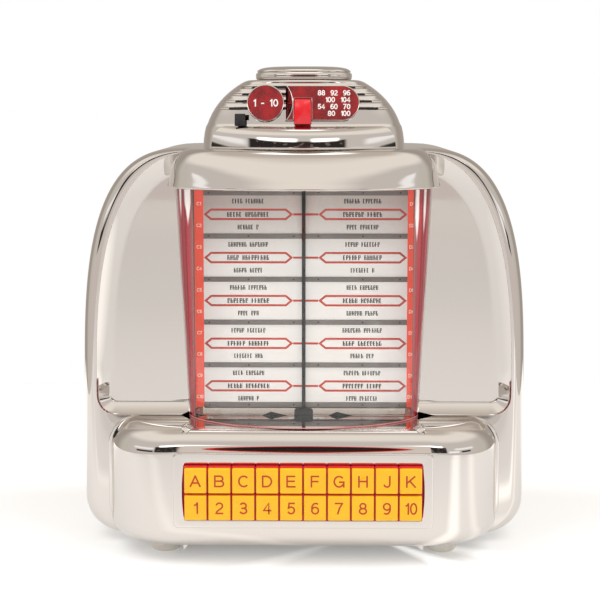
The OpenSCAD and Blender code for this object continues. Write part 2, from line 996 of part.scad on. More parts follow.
module audio_jack() {
  color("black")
    translate([12, 0, control_height]) {
      upright(pocket_floor - 14.4, pocket_floor - 2.4)
        difference() {
          square([7, 7], center = true);
          circle(1.8);
        }
      upright(pocket_floor - 2.4, pocket_floor)
        difference() {
          circle(3.2);
          circle(1.8);
        }
    }
}

module antenna_rod() {
  color("dimgray")
    translate([0, 40, body_top - 18.4]) {
      rotate([0, 90, 0])
        translate([0, 0, -50])
          cylinder(d = 9, h = 100);
      rotate([0, 90, 0])
        translate([0, 0, -14])
          cylinder(d = 11.4, h = 28);
      for (x = [-1, 1])
        translate([x * 45 - 4, -6, -5.6])
          cube([8, 12, 11.6]);
    }
}

module feet() {
  color("lightgray") {
    for (x = [-1, 1], y = [-47, 62])
      translate([x * 88.7, y, 0]) {
        cylinder(d1 = 15, d2 = 19, h = 2);
        translate([0, 0, 2])
          cylinder(d = 19, h = foot_height - 2);
      }
  }
}

module rear_screws() {
  color("gray")
    for (spot = screw_spots) {
      upright(cover_front + 2, cover_front + 3.8)
        translate(spot)
          circle(2.9);
      upright(cover_front - 14, cover_front + 2)
        translate(spot)
          circle(1.4);
    }
}

module inner_screws() {
  color("gray") {
    for (x = [-1, 1], z = [-1, 1])
      translate([x * 79, 0, key_middle + z * 20]) {
        upright(board_key + 1.6, board_key + 3)
          circle(2.4);
        upright(board_key - 4.5, board_key + 1.6)
          circle(1);
      }
    for (x = [-1, 1], z = [116, 200])
      translate([x * 67.5, 0, z]) {
        upright(panel_front + wall + 6.6, panel_front + wall + 8)
          circle(2.6);
        upright(panel_front + wall + 0.6, panel_front + wall + 6.6)
          circle(1.2);
      }
    for (x = [-28, 24])
      translate([x, 0, 279]) {
        upright(-42.4, -41)
          circle(2.4);
        upright(-49.5, -42.4)
          circle(1);
      }
    for (x = [-1, 1], y = [4, 52])
      translate([x * 66, y, foot_height + 8]) {
        cylinder(d = 2.6, h = 9.6, $fn = 32);
        translate([0, 0, 9.6])
          cylinder(d = 5.4, h = 1.8, $fn = 32);
      }
  }
}

body_shell();
rear_cover();
console_shell();
key_bezel();
key_guide();
key_dome_mat();
key_circuit_board();
key_a();
key_b();
key_c();
key_d();
key_e();
key_f();
key_g();
key_h();
key_j();
key_k();
key_1();
key_2();
key_3();
key_4();
key_5();
key_6();
key_7();
key_8();
key_9();
key_10();
title_window();
title_board();
left_title_page();
right_title_page();
title_frame();
left_index_strip();
right_index_strip();
page_rod();
lamp_board();
hood();
crown_shell();
crown_apron();
crown_cap();
coin_disc();
dial_plate();
select_button();
light_slider();
head_switches();
left_speaker_frame();
right_speaker_frame();
left_speaker_cone();
right_speaker_cone();
main_circuit_board();
volume_knob();
tuning_knob();
volume_control();
tuning_capacitor();
power_jack();
audio_jack();
antenna_rod();
feet();
rear_screws();
inner_screws();
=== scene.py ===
import json
import math
from functools import partial

import bmesh
import bpy
from mathutils import Matrix, Vector

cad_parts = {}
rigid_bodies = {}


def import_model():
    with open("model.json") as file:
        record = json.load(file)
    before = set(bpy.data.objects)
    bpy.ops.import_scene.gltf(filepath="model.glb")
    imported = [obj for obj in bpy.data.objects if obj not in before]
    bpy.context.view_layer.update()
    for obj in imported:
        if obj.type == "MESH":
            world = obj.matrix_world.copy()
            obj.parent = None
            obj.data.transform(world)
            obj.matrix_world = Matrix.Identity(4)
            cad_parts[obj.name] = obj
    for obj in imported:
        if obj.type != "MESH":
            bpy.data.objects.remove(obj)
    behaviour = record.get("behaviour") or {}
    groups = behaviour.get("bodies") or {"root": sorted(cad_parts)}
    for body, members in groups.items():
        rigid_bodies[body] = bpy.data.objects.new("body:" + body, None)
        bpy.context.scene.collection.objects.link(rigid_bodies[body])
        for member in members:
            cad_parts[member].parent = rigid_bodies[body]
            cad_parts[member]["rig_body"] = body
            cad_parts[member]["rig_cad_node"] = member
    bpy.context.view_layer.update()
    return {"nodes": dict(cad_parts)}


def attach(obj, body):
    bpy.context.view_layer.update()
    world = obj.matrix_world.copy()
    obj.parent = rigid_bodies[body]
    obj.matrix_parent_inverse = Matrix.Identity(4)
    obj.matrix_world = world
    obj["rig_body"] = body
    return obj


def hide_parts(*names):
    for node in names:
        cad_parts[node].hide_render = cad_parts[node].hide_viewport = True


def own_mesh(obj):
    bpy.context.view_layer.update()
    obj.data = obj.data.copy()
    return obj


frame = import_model()
cadNodes = frame["nodes"]
mm = 0.001
near = 0.001  # places closer than this, in mm, are the same
bpy.context.scene.view_settings.view_transform = "Standard"  # hex colours stay as they are written
print("frame loaded:", len(cadNodes), "nodes")

# small helpers


def hexColour(code):
    parts = [int(code[i:i + 2], 16) / 255 for i in (1, 3, 5)]
    return [c / 12.92 if c <= 0.04045 else ((c + 0.055) / 1.055) ** 2.4 for c in parts] + [1]


def deselectAll():
    if bpy.context.mode != "OBJECT":
        bpy.ops.object.mode_set(mode="OBJECT")
    bpy.ops.object.select_all(action="DESELECT")


def chooseOnly(piece):
    deselectAll()
    piece.select_set(True)
    bpy.context.view_layer.objects.active = piece


def nameNew(name):
    piece = bpy.context.object
    piece.name = name
    piece.data.name = name
    return piece


def enterEdit(piece, kind, action="DESELECT"):
    chooseOnly(piece)
    bpy.ops.object.mode_set(mode="EDIT")
    bpy.ops.mesh.select_mode(type=kind)
    bpy.ops.mesh.select_all(action=action)
    return bmesh.from_edit_mesh(piece.data)


def leaveEdit():
    bpy.ops.object.mode_set(mode="OBJECT")


def editFaces(piece, test):
    # enters edit mode and selects the faces whose middle (mm) and normal pass the test
    mesh = enterEdit(piece, "FACE")
    for face in mesh.faces:
        if test(face.calc_center_median() / mm, face.normal):
            face.select_set(True)
    bmesh.update_edit_mesh(piece.data)


def deleteFaces(piece, test):
    editFaces(piece, test)
    bpy.ops.mesh.delete(type="FACE")
    leaveEdit()


def bevelEdges(piece, test, width, segments):
    # rounds the edges whose two ends (mm) pass the test
    mesh = enterEdit(piece, "EDGE")
    for edge in mesh.edges:
        if test(edge.verts[0].co / mm, edge.verts[1].co / mm):
            edge.select_set(True)
    bmesh.update_edit_mesh(piece.data)
    bpy.ops.mesh.bevel(offset=width * mm, segments=segments, affect="EDGES")
    leaveEdit()


def useModifier(piece, kind, **settings):
    chooseOnly(piece)
    bpy.ops.object.modifier_add(type=kind)
    modifier = piece.modifiers[-1]
    for key, value in settings.items():
        setattr(modifier, key, value)
    bpy.ops.object.modifier_apply(modifier=modifier.name)


def turnOutward(piece):
    enterEdit(piece, "VERT", "SELECT")
    bpy.ops.mesh.remove_doubles(threshold=0.000002)
    bpy.ops.mesh.normals_make_consistent(inside=False)
    leaveEdit()


def smoothPiece(piece, degrees=32):
    chooseOnly(piece)
    bpy.ops.object.shade_smooth_by_angle(angle=math.radians(degrees))


def settle(piece):
    chooseOnly(piece)
    bpy.ops.object.transform_apply(location=True, rotation=True, scale=True)


def joinPieces(pieces, name):
    deselectAll()
    for piece in pieces:
        piece.select_set(True)
    bpy.context.view_layer.objects.active = pieces[0]
    if len(pieces) > 1:
        bpy.ops.object.join()
    return nameNew(name)


def copyPiece(piece, name, move=(0, 0, 0)):
    chooseOnly(piece)
    bpy.ops.object.duplicate()
    copy = nameNew(name)
    bpy.ops.transform.translate(value=Vector(move) * mm)
    bpy.ops.object.transform_apply(location=True, rotation=False, scale=False)
    return copy


def paint(piece, *materials):
    piece.data.materials.clear()
    for material in materials:
        piece.data.materials.append(material)


def seat(piece, body, slot, *replaced):
    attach(piece, body)
    if replaced:
        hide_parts(*replaced)


def complete(piece, degrees, finish, slot, *replaced):
    # what a piece of the chassis needs once its shape is ready
    smoothPiece(piece, degrees)
    paint(piece, finishes[finish])
    seat(piece, "chassis", slot, *replaced)


def gather(pieces, name, finish, body, slot, *replaced):
    # the same for a piece that is put together from several
    whole = joinPieces(pieces, name)
    paint(whole, finishes[finish])
    seat(whole, body, slot, *replaced)


def splitPaint(piece, first, second, test):
    # two finishes, the second on the faces that pass the test
    paint(piece, finishes[first], finishes[second])
    for face in piece.data.polygons:
        face.material_index = 1 if test(face) else 0


def drawRings(name, rings, capped=True):
    # a circle is placed on the first ring and extruded edge by edge through the others (mm); both ends are
    # closed with a face, or the last ring is joined to the first, and the normals point outwards
    deselectAll()
    bpy.ops.mesh.primitive_circle_add(vertices=len(rings[0]), radius=0.05, enter_editmode=True)
    piece = nameNew(name)
    bpy.ops.mesh.select_mode(type="VERT")
    mesh = bmesh.from_edit_mesh(piece.data)
    place = mesh.verts.layers.int.new("place")
    for i, vert in enumerate(mesh.verts):
        vert[place] = i
        vert.co = Vector(rings[0][i]) * mm
    bpy.ops.mesh.select_all(action="SELECT")
    for ring in rings[1:]:
        bpy.ops.mesh.extrude_edges_indiv()
        mesh = bmesh.from_edit_mesh(piece.data)
        place = mesh.verts.layers.int["place"]
        for vert in mesh.verts:
            if vert.select:
                vert.co = Vector(ring[vert[place]]) * mm
    if capped:
        bpy.ops.mesh.edge_face_add()
    bpy.ops.mesh.select_mode(type="EDGE")
    bpy.ops.mesh.select_all(action="DESELECT")
    bpy.ops.mesh.select_non_manifold()
    if capped:
        bpy.ops.mesh.edge_face_add()
    else:
        bpy.ops.mesh.bridge_edge_loops()
    leaveEdit()
    piece.data.attributes.remove(piece.data.attributes["place"])
    turnOutward(piece)
    return piece


def evenly(points, count):
    # the same line with its points evenly spaced
    lengths = [0]
    for a, b in zip(points, points[1:]):
        lengths.append(lengths[-1] + math.dist(a, b))
    spaced, k = [], 0
    for i in range(count + 1):
        goal = lengths[-1] * i / count
        while k < len(points) - 2 and lengths[k + 1] < goal:
            k += 1
        part = (goal - lengths[k]) / max(lengths[k + 1] - lengths[k], 1e-9)
        spaced.append(tuple(a + (b - a) * part for a, b in zip(points[k], points[k + 1])))
    return spaced


def oval(midX, midY, reachX, reachY, power, end=360, steps=360):
    # a squarish oval from its right side anticlockwise, as far as an angle in degrees
    points = []
    for i in range(steps + 1):
        a = math.radians(end * i / steps)
        c, s = math.cos(a), math.sin(a)
        w = (abs(c) ** power + abs(s) ** power) ** (1 / power)
        points.append((midX + reachX * c / w, midY + reachY * s / w))
    return points


def turns(*degrees):
    # the sine and cosine of each angle
    return [(math.sin(math.radians(a)), math.cos(math.radians(a))) for a in degrees]


def arc(midX, midY, reachX, reachY, start, end, steps=12):
    # part of an ellipse between two angles in degrees
    angles = [start + (end - start) * i / steps for i in range(steps + 1)]
    return [(midX + reachX * c, midY + reachY * s) for s, c in turns(*angles)]


def chain(*lines):
    points = list(lines[0])
    for line in lines[1:]:
        points += line[1:]
    return points


def bothHalves(half):
    # a half outline from the bottom middle to the top middle, with its mirror image
    return half + [(-x, z) for x, z in reversed(half[1:-1])]


def pushed(outline, distance):
    # a closed outline moved along its own normal, outwards where the distance is positive
    moved = []
    for i, (x, z) in enumerate(outline):
        ax, az = outline[i - 1]
        bx, bz = outline[(i + 1) % len(outline)]
        length = max(math.hypot(bx - ax, bz - az), 1e-9)
        reach = distance(z) if callable(distance) else distance
        moved.append((x + reach * (bz - az) / length, z - reach * (bx - ax) / length))
    return moved


def upright(outline, y):
    return [(x, y, z) for x, z in outline]


def level(outline, z):
    return [(x, y, z) for x, y in outline]


def roundedBox(name, middle, size, radius, axis="Y", segments=4, edge=0):
    # a cube with its long corners rounded, and its rims if edge is given
    deselectAll()
    bpy.ops.mesh.primitive_cube_add(size=1, location=Vector(middle) * mm, scale=Vector(size) * mm)
    piece = nameNew(name)
    settle(piece)
    k = "XYZ".index(axis)
    bevelEdges(piece, lambda a, b: abs(a[k] - b[k]) > size[k] * 0.9, radius, segments)
    if edge:
        def rim(a, b):
            return abs(a[k] - b[k]) < near and abs(abs(a[k] - middle[k]) - size[k] / 2) < near

        bevelEdges(piece, rim, edge, 2)
    smoothPiece(piece)
    return piece


def disc(name, middle, radius, depth, axis="Y", vertices=64, edge=0):
    deselectAll()
    turn = {"X": (0, math.pi / 2, 0), "Y": (math.pi / 2, 0, 0), "Z": (0, 0, 0)}[axis]
    bpy.ops.mesh.primitive_cylinder_add(
        vertices=vertices, radius=radius * mm, depth=depth * mm, location=Vector(middle) * mm, rotation=turn)
    piece = nameNew(name)
    settle(piece)
    if edge:
        k = "XYZ".index(axis)
        bevelEdges(piece, lambda a, b: abs(a[k] - b[k]) < near, edge, 3)
    smoothPiece(piece)
    return piece


def drawGrid(name, columns, rows, place):
    # a grid whose crossings are moved to their places (mm)
    deselectAll()
    bpy.ops.mesh.primitive_grid_add(x_subdivisions=columns, y_subdivisions=rows, size=1, enter_editmode=True)
    piece = nameNew(name)
    mesh = bmesh.from_edit_mesh(piece.data)
    for vert in mesh.verts:
        spot = place(round((vert.co.x + 0.5) * columns), round((vert.co.y + 0.5) * rows))
        vert.co = Vector(spot) * mm
    bpy.ops.mesh.select_all(action="SELECT")
    bpy.ops.mesh.normals_make_consistent(inside=False)
    leaveEdit()
    return piece


stem = [(0, 0), (0, 1)]
# plain upright lettering: the middle lines of the strokes, on a height of 1
glyphs = {
    "A": [[(0, 0), (0.38, 1)], [(0.76, 0), (0.38, 1)], [(0.13, 0.33), (0.63, 0.33)]],
    "B": [stem, [(0, 1), (0.36, 1)] + arc(0.4, 0.76, 0.23, 0.24, 90, -90) + [(0, 0.52)],
          [(0, 0.52), (0.4, 0.52)] + arc(0.42, 0.26, 0.26, 0.26, 90, -90) + [(0, 0)]],
    "C": [arc(0.38, 0.5, 0.38, 0.5, 42, 318, 24)],
    "D": [stem, [(0, 1), (0.24, 1)] + arc(0.26, 0.5, 0.43, 0.5, 90, -90, 18) + [(0, 0)]],
    "E": [stem, [(0, 1), (0.6, 1)], [(0, 0.53), (0.56, 0.53)], [(0, 0), (0.62, 0)]],
    "F": [stem, [(0, 1), (0.56, 1)], [(0, 0.51), (0.5, 0.51)]],
    "G": [arc(0.38, 0.5, 0.38, 0.5, 42, 330, 24), [(0.75, 0), (0.75, 0.46), (0.42, 0.46)]],
    "H": [stem, [(0.64, 0), (0.64, 1)], [(0, 0.53), (0.64, 0.53)]],
    "J": [[(0.44, 1), (0.44, 0.26)] + arc(0.22, 0.26, 0.22, 0.26, -10, -175)],
    "K": [stem, [(0.62, 1), (0.02, 0.37)], [(0.23, 0.58), (0.66, 0)]],
    "0": [arc(0.27, 0.5, 0.27, 0.5, 0, 360, 28)],
    "1": [[(0.3, 0), (0.3, 1)], [(0.29, 0.98), (0.22, 0.84), (0.04, 0.77)]],
    "2": [arc(0.27, 0.72, 0.25, 0.28, 168, -38) + [(0.24, 0.34), (0.08, 0.18), (0.02, 0), (0.53, 0)]],
    "3": [arc(0.27, 0.75, 0.23, 0.25, 160, -90), [(0.17, 0.5), (0.27, 0.5)],
          arc(0.27, 0.25, 0.26, 0.25, 90, -162)],
    "4": [[(0.42, 0), (0.42, 1), (0, 0.29), (0.57, 0.29)]],
    "5": [[(0.5, 1), (0.11, 1), (0.05, 0.5)], arc(0.26, 0.32, 0.26, 0.32, 142, -158, 18)],
    "6": [arc(0.28, 0.31, 0.26, 0.31, 0, 360, 20), arc(0.33, 0.5, 0.31, 0.5, 55, 186, 14)],
    "7": [[(0, 1), (0.54, 1), (0.32, 0.55), (0.18, 0)]],
    "8": [arc(0.28, 0.75, 0.22, 0.25, 0, 360, 20), arc(0.28, 0.26, 0.27, 0.26, 0, 360, 20)],
    "9": [arc(0.27, 0.69, 0.26, 0.31, 0, 360, 20), arc(0.22, 0.5, 0.31, 0.5, 6, -125, 14)],
    "-": [[(0.02, 0.42), (0.32, 0.42)]],
    " ": []}


def lettering(name, words, height, middle, stand, weight, stretch=1.1, gap=0.22, align="CENTER"):
    # strokes drawn as flat ribbons facing the front, their corners mitred
    pens, at = [], 0
    for glyph in words:
        strokes = glyphs[glyph]
        pens += [[(at + x * stretch, y) for x, y in stroke] for stroke in strokes]
        at += stretch * max([x for stroke in strokes for x, y in stroke] or [0.3]) + gap
    shift = (at - gap) * (1 if align == "RIGHT" else 0.5)
    parts = []
    for pen in pens:
        line = [(middle[0] + (x - shift) * height, middle[1] + (y - 0.5) * height) for x, y in pen]
        closed = math.dist(line[0], line[-1]) < near
        if not closed:  # square ends
            for end, beside in ((0, 1), (-1, -2)):
                d = math.dist(line[end], line[beside])
                if len(line) == 2 or d > height * 0.3:
                    line[end] = tuple(a + (a - b) / d * weight * 0.4 for a, b in zip(line[end], line[beside]))
        sides = []
        for i, (x, z) in enumerate(line):
            before = line[i - 1] if i else (line[-2] if closed else line[0])
            after = line[i + 1] if i + 1 < len(line) else (line[1] if closed else line[-1])
            ax, az, bx, bz = x - before[0], z - before[1], after[0] - x, after[1] - z
            la, lb = math.hypot(ax, az), math.hypot(bx, bz)
            dx = (ax / la if la else 0) + (bx / lb if lb else 0)
            dz = (az / la if la else 0) + (bz / lb if lb else 0)
            long = math.hypot(dx, dz)
            dx, dz = dx / long, dz / long
            turn = (dx * bx + dz * bz) / lb if la and lb else 1
            half = weight / 2 / max(turn, 0.6)
            sides.append(((x - dz * half, z + dx * half), (x + dz * half, z - dx * half)))

        def place(i, j):
            return sides[i][j][0], stand - 0.004 * len(parts), sides[i][j][1]

        parts.append(drawGrid("stroke", len(line) - 1, 1, place))
    piece = joinPieces(parts, name)
    turnOutward(piece)
    if piece.data.polygons[0].normal.y > 0:
        enterEdit(piece, "FACE", "SELECT")
        bpy.ops.mesh.flip_normals()
        leaveEdit()
    return piece


# finishes


def addNode(tree, kind, values=None, links=None, **options):
    node = tree.nodes.new(kind)
    for key, value in options.items():
        setattr(node, key, value)
    for key, value in (values or {}).items():
        node.inputs[key].default_value = value
    for key, source in (links or {}).items():
        tree.links.new(source, node.inputs[key])
    return node


def math2(tree, kind, a, b=0.0):
    node = tree.nodes.new("ShaderNodeMath")
    node.operation = kind
    for socket, value in zip(node.inputs, (a, b)):
        if isinstance(value, (int, float)):
            socket.default_value = value
        else:
            tree.links.new(value, socket)
    return node.outputs[0]


def blended(tree, share, first, second):
    # a mix of two colours, the first of them given or from a node
    mix = addNode(tree, "ShaderNodeMix", {7: second}, {0: share}, data_type="RGBA")
    if isinstance(first, list):
        mix.inputs[6].default_value = first
    else:
        tree.links.new(first, mix.inputs[6])
    return mix.outputs[2]


def startFinish(name, **values):
    material = bpy.data.materials.new(name)
    material.use_nodes = True
    tree = material.node_tree
    shader = tree.nodes["Principled BSDF"]
    for key, value in values.items():
        shader.inputs[key.replace("_", " ")].default_value = value
    place = addNode(tree, "ShaderNodeTexCoord").outputs["Object"]
    return material, tree, shader, place


def speckle(tree, place, size, detail=2.0, roughness=0.5, stretch=(1, 1, 1)):
    # noise whose grains are about size millimetres across
    mapping = addNode(tree, "ShaderNodeMapping", {"Scale": stretch}, {"Vector": place})
    return addNode(tree, "ShaderNodeTexNoise",
                   {"Scale": 1 / (size * mm * 2), "Detail": detail, "Roughness": roughness},
                   {"Vector": mapping.outputs["Vector"]}).outputs["Fac"]


def spread(tree, source, low, high, fromLow=0.3, fromHigh=0.7):
    return addNode(tree, "ShaderNodeMapRange",
                   {"From Min": fromLow, "From Max": fromHigh, "To Min": low, "To Max": high},
                   {"Value": source}).outputs["Result"]


def twoTone(tree, source, first, second, fromLow=0.3, fromHigh=0.7):
    ramp = addNode(tree, "ShaderNodeValToRGB", links={"Fac": source})
    ramp.color_ramp.elements[0].position = fromLow
    ramp.color_ramp.elements[0].color = hexColour(first)
    ramp.color_ramp.elements[1].position = fromHigh
    ramp.color_ramp.elements[1].color = hexColour(second)
    return ramp.outputs["Color"]


def roughen(tree, shader, heights, strength, distance):
    bump = addNode(tree, "ShaderNodeBump", {"Strength": strength, "Distance": distance * mm},
                   {"Height": heights})
    tree.links.new(bump.outputs["Normal"], shader.inputs["Normal"])


def makeFinish(name, grain, rough, tones=None, relief=None, **values):
    # the grain drives the roughness and the tones, and the relief too unless that has a grain of its own
    material, tree, shader, place = startFinish(name, **values)
    pattern = speckle(tree, place, *grain)
    tree.links.new(spread(tree, pattern, *rough), shader.inputs["Roughness"])
    if tones:
        tree.links.new(twoTone(tree, pattern, *tones), shader.inputs["Base Color"])
    if relief:
        strength, height, *own = relief
        roughen(tree, shader, speckle(tree, place, *own[0]) if own else pattern, strength, height)
    return material


def makeMoulded(name, first, second, low, high, **extra):
    # moulded plastic: an even colour that drifts slightly, with a faint orange peel
    return makeFinish(name, (6.4, 3), (low, high), (first, second), (0.4, 0.006, (0.8, 2)), IOR=1.52, **extra)


def makeSteel(name, first, second, low, high):
    # sheet steel, zinc plated or painted: fine cloudy spangle
    return makeFinish(name, (1.5, 3, 0.6), (low, high), (first, second), Metallic=0.9)


def makeBoard(name, first, second):
    # glass fibre board under solder mask: the weave of about 0.5 mm shows through
    material, tree, shader, place = startFinish(name, IOR=1.55, Roughness=0.35)
    weave = addNode(tree, "ShaderNodeTexWave", {"Scale": 1 / (3.2 * mm), "Distortion": 0.4},
                    {"Vector": place})
    tree.links.new(twoTone(tree, weave.outputs["Fac"], first, second, 0.2, 0.8), shader.inputs["Base Color"])
    return material


def makeAcrylic():
    # injection moulded acrylic, polished tool: clear with hardly any haze; light falls through it
    material, tree, shader, place = startFinish("clearAcrylic", IOR=1.49, Transmission_Weight=1.0,
                                                Base_Color=hexColour("#FDFCFB"), Specular_IOR_Level=0.04)
    tree.links.new(spread(tree, speckle(tree, place, 12, 2), 0.0, 0.008), shader.inputs["Roughness"])
    clear = addNode(tree, "ShaderNodeBsdfTransparent", {"Color": hexColour("#F6F4F2")})
    shadow = addNode(tree, "ShaderNodeLightPath").outputs["Is Shadow Ray"]
    mix = addNode(tree, "ShaderNodeMixShader", links={0: shadow, 1: shader.outputs["BSDF"],
                                                      2: clear.outputs["BSDF"]})
    tree.links.new(mix.outputs["Shader"], tree.nodes["Material Output"].inputs["Surface"])
    return material


def makePaper():
    # coated card, printed: white with soft fibres
    material = makeFinish("coatedCardPaintedGlow", (0.6, 4, 0.6, (1, 1, 3)), (0.42, 0.55), ("#E9E2DE", "#F3EDE9"),
                          (0.3, 0.01), IOR=1.5, Emission_Color=hexColour("#F4FFFE"))
    # a painted glow lightens the cards, none at their covered top: painted shade under the hood
    tree = material.node_tree
    place = addNode(tree, "ShaderNodeTexCoord").outputs["Object"]
    height = addNode(tree, "ShaderNodeSeparateXYZ", links={"Vector": place}).outputs["Z"]
    glow = spread(tree, height, 0.31, 0.0, 0.186, 0.222)
    tree.links.new(glow, tree.nodes["Principled BSDF"].inputs["Emission Strength"])
    return material


def makeEdgeFilm(name, paintedStreaks):
    # painted reflection on a sheet inside the clear acrylic's curved side: the index strip's colour painted
    # as upright wine red and mauve bands, with glowing painted highlight streaks towards the top that taper
    # downwards
    material, tree, shader, place = startFinish(name, IOR=1.49, Roughness=0.12,
                                                Emission_Color=hexColour("#FFF7F5"))
    spot = addNode(tree, "ShaderNodeSeparateXYZ", links={"Vector": place})
    x, z = spot.outputs["X"], spot.outputs["Z"]
    sums = partial(math2, tree)
    reach = sums("ADD", sums("MULTIPLY", z, reflectionFilm["grow"]), reflectionFilm["low"])
    whole = sums("SUBTRACT", reach, reflectionFilm["inner"] * mm)
    across = sums("DIVIDE", sums("SUBTRACT", reach, sums("ABSOLUTE", x)), whole)
    waver = sums("SUBTRACT", speckle(tree, place, 3, 3, 0.6, (1, 1, 0.06)), 0.5)
    across = sums("ADD", across, sums("MULTIPLY", waver, reflectionFilm["waver"]))
    ramp = addNode(tree, "ShaderNodeValToRGB", links={"Fac": across})
    stops = reflectionFilm["bands"]
    while len(ramp.color_ramp.elements) < len(stops):
        ramp.color_ramp.elements.new(0.5)
    for element, (at, tint) in zip(ramp.color_ramp.elements, stops):
        element.position = at
        element.color = hexColour(tint)
    glow = 0.0
    for low, high, end in paintedStreaks:
        # from its lower end (mm) a painted highlight streak grows to its full width, between two shares of
        # the way across
        width = sums("MULTIPLY", spread(tree, z, 0.02, 1.0, end * mm, (end + 16) * mm), (high - low) / 2)
        away = sums("SUBTRACT", sums("ABSOLUTE", sums("SUBTRACT", across, (low + high) / 2)), width)
        above = spread(tree, z, 0, 1, end * mm, (end + 6) * mm)
        glow = sums("ADD", sums("MULTIPLY", spread(tree, away, 1, 0, -0.05, 0.03), above), glow)
    tree.links.new(blended(tree, glow, ramp.outputs["Color"], hexColour("#F4EEEC")),
                   shader.inputs["Base Color"])
    tree.links.new(sums("MULTIPLY", glow, reflectionFilm["glow"]), shader.inputs["Emission Strength"])
    return material


# the painted reflection sheet reaches from the strip to the window's wall; low and grow give that wall's half
# width by height
reflectionFilm = {"inner": 68.7, "low": 68.38 * mm, "grow": 0.0526, "waver": 0.16, "glow": 0.45,
            "bands": ((0.0, "#6E121C"), (0.07, "#A82834"), (0.16, "#C85C68"), (0.26, "#A01E2C"),
                      (0.38, "#B84050"), (0.47, "#8A2A36"), (0.55, "#DA3444"), (0.72, "#BE4856"),
                      (0.86, "#B0686E"), (0.95, "#BC7E7C"), (1.0, "#5A2420"))}


finishes = {
    # ABS, polished mould, electroplated with bright chromium: a warm mirror whose faint swell over a few
    # centimetres makes the reflections wander a little
    "chrome": makeFinish("brightChromePlate", (9, 4), (0.018, 0.05), None, (1.0, 0.010, (34, 1)),
                         Metallic=1.0, Base_Color=hexColour("#D8D3CE")),
    # ABS moulded in a spark-eroded tool: matte, with a fine even grain of about 0.2 mm, drawn a little
    # coarser to show
    "grained": makeFinish("sparkGrainedAbs", (0.35, 3), (0.5, 0.66), ("#2C2D2F", "#36373A"), (0.5, 0.03),
                          IOR=1.53),
    "acrylic": makeAcrylic(),
    "keyYellow": makeMoulded("yellowAbs", "#F8B900", "#FABF08", 0.26, 0.34),
    "keyRed": makeMoulded("crimsonAbs", "#CE1622", "#D81C28", 0.26, 0.34),
    "keyInk": makeMoulded("orangeRedInk", "#B42A06", "#BE3208", 0.4, 0.5),
    "silicone": makeMoulded("siliconeRubber", "#C9C9C6", "#D5D5D2", 0.45, 0.6),
    "board": makeBoard("greenSolderMask", "#0D4A27", "#125A31"),
    "whiteBoard": makeMoulded("whiteStyrene", "#D9D3CC", "#E2DDD7", 0.35, 0.5),
    "paper": makePaper(),
    "bar": makeMoulded("greyStyrene", "#7F7A77", "#8B8683", 0.3, 0.45),
    "rivet": makeMoulded("darkRivet", "#1E1B1A", "#2A2624", 0.35, 0.5),
    # painted glow on the index strip and its print
    "strip": makeMoulded("orangePrintedCardPaintedGlow", "#F2543A", "#F65E42", 0.4, 0.5,
                         Emission_Color=hexColour("#FF3D14"), Emission_Strength=0.4),
    "stripInk": makeMoulded("paleStripInkPaintedGlow", "#FFE6DC", "#FFEDE4", 0.4, 0.5,
                            Emission_Color=hexColour("#FFD8C8"), Emission_Strength=0.35),
    "lineInk": makeMoulded("vermilionInk", "#E0402B", "#E64A34", 0.4, 0.5),
    "textInk": makeMoulded("darkGreyInk", "#141211", "#1C1918", 0.45, 0.55, Specular_IOR_Level=0.15),
    "rod": makeMoulded("blackPaintedRod", "#0E0D0C", "#151312", 0.3, 0.42, Specular_IOR_Level=0.25),
    # aluminium foil plate under transparent red lacquer: mottled over about a centimetre, glossy
    "lacquer": makeFinish("redLacqueredFoil", (5, 3, 0.6), (0.22, 0.38), ("#6A060B", "#AA1018"),
                          (0.3, 0.01, (1.2, 2)), IOR=1.5, Metallic=0.15, Coat_Weight=0.25,
                          Coat_Roughness=0.05),
    # painted reflections of the index strips on the window's sides, with glowing painted highlight streaks
    "stripReflectionLeft": makeEdgeFilm("paintedStripReflectionLeft", ((0.20, 0.32, 212), (0.46, 0.84, 208))),
    "stripReflectionRight": makeEdgeFilm("paintedStripReflectionRight", ((0.29, 0.44, 202), (0.68, 0.90, 198))),
    # painted pink light along the clear window's cut edge
    "pinkEdgeLight": makeMoulded("paintedPinkEdgeLight", "#DB8482", "#E2918E", 0.15, 0.25),
    "numerals": makeMoulded("whiteInk", "#F2F0EE", "#FAF8F6", 0.4, 0.5),
    "button": makeMoulded("brightRedAcrylic", "#E2222B", "#EA2A33", 0.16, 0.24, Coat_Weight=0.3),
    "black": makeMoulded("blackAbs", "#141416", "#1B1B1D", 0.35, 0.5),
    "steel": makeSteel("zincPlatedSteel", "#A9AAAC", "#BDBEC0", 0.25, 0.4),
    "darkSteel": makeSteel("blackPaintedSteel", "#2A2B2D", "#343537", 0.4, 0.55),
    "cone": makeMoulded("pressedPaperCone", "#1A1918", "#262423", 0.75, 0.9),
    "ferrite": makeMoulded("sinteredFerrite", "#2B2C2F", "#37383B", 0.5, 0.65),
    "foot": makeMoulded("milkyRubber", "#D9D4CC", "#E3DED6", 0.4, 0.55, Subsurface_Weight=0.3,
                        Subsurface_Scale=0.002),
}
print("finishes made:", len(finishes))

# camera, light and floor

lookAt = {"eye": (6, -834.7, 284.3), "yaw": 0.60, "pitch": -4.75, "lens": 75, "shift": -0.15}
deselectAll()
bpy.ops.object.camera_add(location=Vector(lookAt["eye"]) * mm,
                          rotation=(math.radians(90 + lookAt["pitch"]), 0, math.radians(lookAt["yaw"])))
camera = nameNew("camera")
camera.data.lens = lookAt["lens"]
camera.data.sensor_width = 36
camera.data.shift_y = lookAt["shift"]
camera.data.clip_start = 0.02
bpy.context.scene.camera = camera

tableTop = {"width": 1120, "front": -3010, "back": 420}
bpy.ops.mesh.primitive_grid_add(x_subdivisions=24, y_subdivisions=24, size=1)
floor = nameNew("floor")
floor.scale = (tableTop["width"] * mm, (tableTop["back"] - tableTop["front"]) * mm, 1)
floor.location = (0, (tableTop["back"] + tableTop["front"]) / 2 * mm, 0)
settle(floor)
